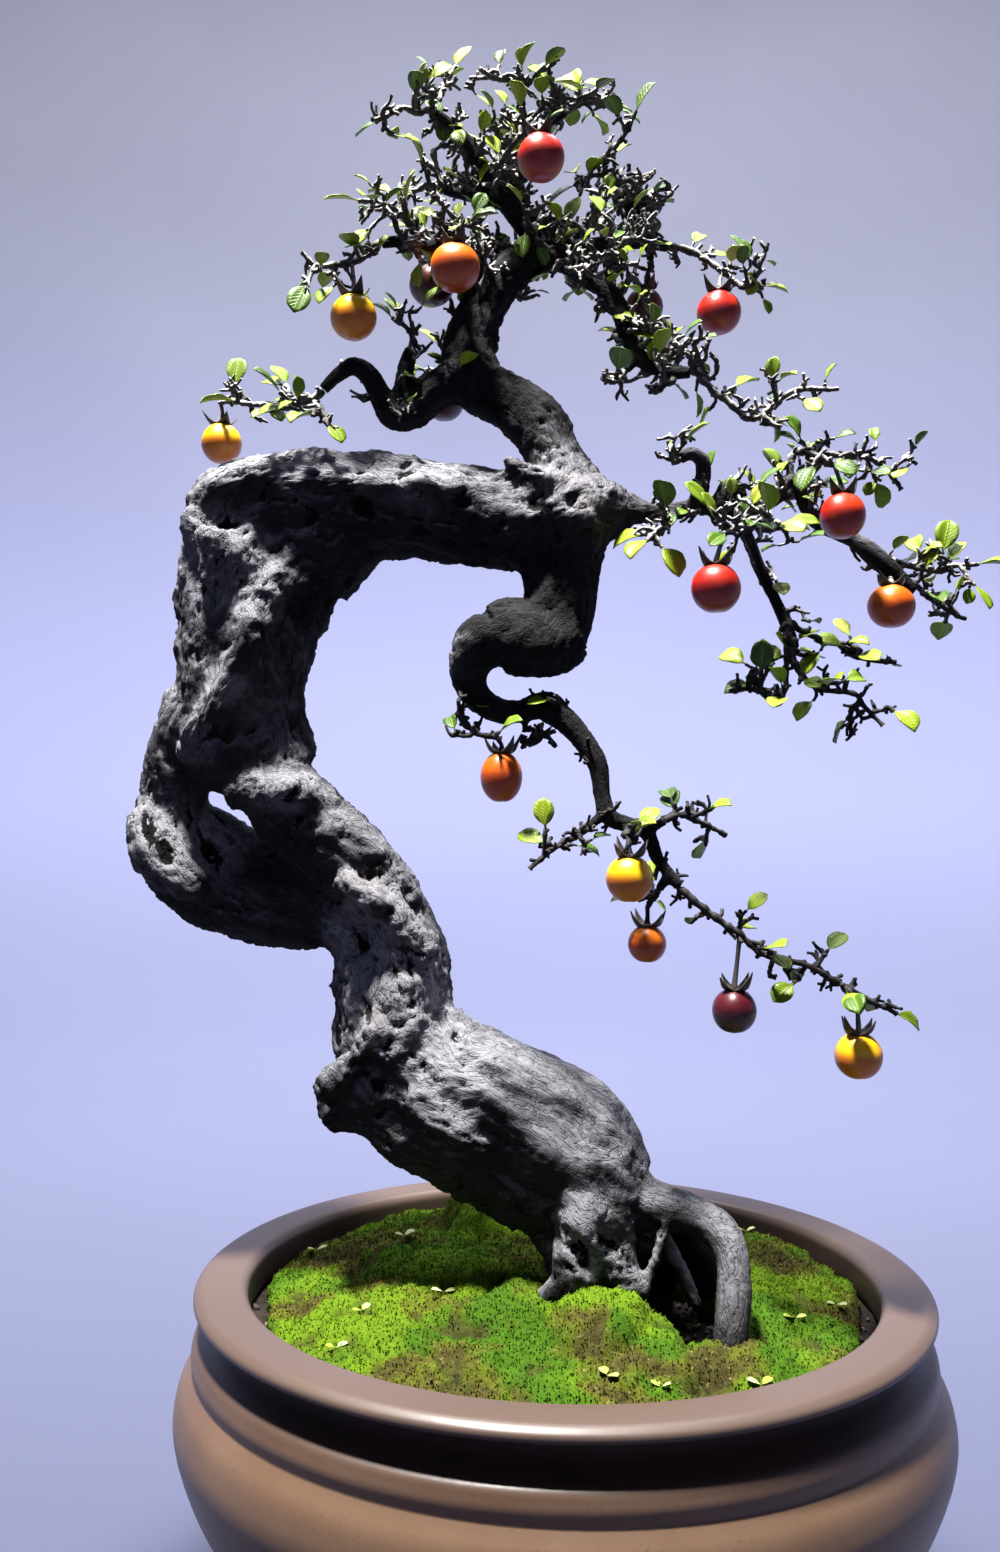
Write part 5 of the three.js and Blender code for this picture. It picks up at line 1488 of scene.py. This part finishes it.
def makeLimbTwigs(name, runs, every, long, girth, level, leafy, first=0):
    draw = SeededDraw(404 + len(name) * 7)
    limbs = {**stoutLimbs, **fineLimbs}
    strands, tips = [], []
    for run in runs:
        path = smoothPath(limbs[run][first:], 3)
        for station, ahead in zip(path[2:], path[3:]):
            if draw.number() < every:
                way = (ahead - station).to_3d().normalized()
                side = (way * 0.3 + draw.direction() + up * 0.25).normalized()
                start = station.to_3d() + side * station.w * 0.5
                growTwig(start, side, draw.between(*long), girth, draw, strands, tips, level)
    leaves = [tipLeaf(place, way, (8, 15), draw) for place, way in tips if draw.number() < leafy]
    twigs = tubes(f"limb_twigs_{name}", strands, 1)
    smoothFaces(twigs)
    dress(twigs, twigMaterial, "bark", "trunk")
    blades = leavesPiece(f"limb_leaves_{name}", leaves, oneLeaf)
    dress(blades, leafMaterial, "leafy_twigs", "trunk")
    print("limb twigs", name, len(twigs.data.polygons), "faces", len(leaves), "leaves")


for twigName, twigGrowth in limbTwigLook.items():
    makeLimbTwigs(twigName, **twigGrowth)

# Calyx: four pointed lobes that sweep up from the top of each fruit
calyxLook = {
    "seed": 600, "lobes": 4, "long": 11.5, "wide": 10.5,
    "colour": (0.016, 0.011, 0.008), "pale": (0.050, 0.038, 0.018),
}


def calyxFinish(look):
    finish = Finish("calyx")
    mottle = finish.grain(240, 4, 0.6)
    tone = finish.mix(mottle.rise(0.42, 0.68) * 0.6, look["colour"], look["pale"])
    return finish.surface(Base_Color=tone, Roughness=0.6, Normal=finish.bump(mottle, 0.5, 0.6))


def lobeTemplate():
    # one lobe a unit long, bent up to its point
    deselectAll()
    bpy.ops.mesh.primitive_grid_add(x_subdivisions=7, y_subdivisions=4, size=1)
    lobe = bpy.context.object
    for vert in lobe.data.vertices:
        u, v = vert.co.x + 0.5, vert.co.y * 2
        half = 0.5 * (1 - u) ** 0.75 * (0.66 + 1.5 * u * (1 - u))
        vert.co = (u, v * half, 0.66 * u**2.3 - 0.13 * math.sin(u * math.pi) + 0.10 * v * v * half)
    finishWith(lobe, "SOLIDIFY", thickness=0.06, offset=0)
    points = [vert.co.copy() for vert in lobe.data.vertices]
    faces = [tuple(face.vertices) for face in lobe.data.polygons]
    bpy.data.objects.remove(lobe)
    return points, faces


def makeCalyx(number, fruit, template, look, material):
    draw = SeededDraw(look["seed"] + number)
    base = Vector(fruit["at"]) + up * (fruit["tall"] / 2 - 0.3)
    points, faces = [], []
    for lobe in range(look["lobes"]):
        turn = lobe * 2 * math.pi / look["lobes"] + 0.6 + draw.between(-0.2, 0.2)
        along = Vector((math.cos(turn), math.sin(turn), 0))
        side = up.cross(along)
        long = look["long"] * draw.between(0.85, 1.1)
        lift = draw.between(0.75, 1.15)
        start = len(points)
        for place in template[0]:
            points.append(base + along * place.x * long * 0.9 + side * place.y * look["wide"]
                          + up * (place.z * long * lift - 0.2))
        faces += [tuple(start + corner for corner in sides) for sides in template[1]]
    calyx = meshPiece(f"calyx_{number}", points, faces)
    smoothFaces(calyx)
    dress(calyx, material, "leafy_twigs", f"spray_{fruit['on']}")


# Fruits: glossy, a little flattened, each with its own blush
fruitLook = {
    "red": dict(skin=(0.46, 0.012, 0.006), blush=(0.60, 0.040, 0.008), deep=(0.20, 0.005, 0.004)),
    "maroon": dict(skin=(0.075, 0.004, 0.009), blush=(0.13, 0.008, 0.012), deep=(0.03, 0.002, 0.005)),
    "orange": dict(skin=(0.64, 0.11, 0.003), blush=(0.80, 0.21, 0.005), deep=(0.30, 0.028, 0.002)),
    "amber": dict(skin=(0.88, 0.42, 0.004), blush=(0.95, 0.58, 0.006), deep=(0.46, 0.085, 0.002)),
}


def fruitFinish(skin, look):
    finish = Finish(f"fruit_{skin}")
    blush = finish.grain(34, 3, 0.5)
    freckle = finish.cells(620)
    haze = finish.grain(130, 4, 0.6)
    tone = finish.mix(blush.rise(0.38, 0.66), look["skin"], look["blush"])
    tone = finish.mix(haze.rise(0.5, 0.8) * 0.5, tone, look["deep"])
    tone = finish.mix((1 - freckle.rise(0.10, 0.22)) * 0.35, tone, look["deep"])
    # painted shade: each fruit darkens towards its underside, away from the key
    tone = finish.mix((1 - facingUp(finish).rise(-0.10, 0.32)) * 0.85, tone, look["deep"])
    relief = finish.bump(haze * 0.7 + freckle * 0.2, 0.25, 0.35)
    return finish.surface(Base_Color=tone, Roughness=0.30 + haze * 0.14, Normal=relief,
                          Coat_Weight=0.22, Coat_Roughness=0.16, Subsurface_Weight=0.06,
                          Subsurface_Radius=(0.004, 0.0015, 0.0008))


def makeFruit(number, fruit, material):
    deselectAll()
    bpy.ops.mesh.primitive_uv_sphere_add(segments=40, ring_count=24, radius=0.5)
    ball = bpy.context.object
    phase = number * 1.7  # turns the lobes of each fruit its own way
    for vert in ball.data.vertices:
        place = vert.co.copy()
        turn = math.atan2(place.y, place.x)
        flat = math.hypot(place.x, place.y) * 2
        lobed = 1 + 0.012 * math.cos(4 * turn + phase) * flat
        crown = 0.045 * math.exp(-((flat / 0.28) ** 2)) * (1 if place.z > 0 else 0.6)
        place = place * lobed * (1 + 0.012 * noise.noise(place * 3 + Vector((phase, 0, 0))))
        place.z -= math.copysign(crown, place.z)
        vert.co = place
    ball.scale = Vector((fruit["wide"], fruit["wide"], fruit["tall"])) * mm
    ball.location = Vector(fruit["at"]) * mm
    settle(ball, f"ripe_fruit_{number}")
    smoothFaces(ball)
    dress(ball, material, f"fruit_{fruit['skin']}", f"fruit_{number}")


calyxMaterial = calyxFinish(calyxLook)
oneLobe = lobeTemplate()
skins = {skin: fruitFinish(skin, look) for skin, look in fruitLook.items()}
for number, fruit in enumerate(fruits, 1):
    makeCalyx(number, fruit, oneLobe, calyxLook, calyxMaterial)
    makeFruit(number, fruit, skins[fruit["skin"]])
print("fruits hung")

# Seedlings that have come up through the moss: x and y, and the length of a leaf, mm
seedlingLook = {
    "seed": 55, "leaf": (4.6, 7.2),
    "at": [(-133, -88), (-138, 40), (-97, -61), (-87, 25), (-58, -51), (-27, 73), (43, -132),
           (106, 70), (88, -118), (113, -56), (139, -23), (-20, 66), (-104, -98), (20, -128)],
}


def makeSeedlings(look, template, material):
    draw = SeededDraw(look["seed"])
    leaves = []
    for x, y in look["at"]:
        foot = Vector((x, y, mossHeight(x, y) + 0.5))
        turn = draw.between(0, 2 * math.pi)
        for side in (0, math.pi + 0.4):
            along = Vector((math.cos(turn + side), math.sin(turn + side), draw.between(0.2, 0.6)))
            size = draw.between(*look["leaf"])
            leaves.append(dict(foot=foot + up, along=along, face=up, long=size, wide=size * 1.3, curl=0.8,
                               tone=draw.between(1.05, 1.4)))
    sprouts = leavesPiece("seedlings", leaves, template)
    dress(sprouts, material, "moss", "moss")


makeSeedlings(seedlingLook, oneLeaf, leafMaterial)
print("scene dressed")
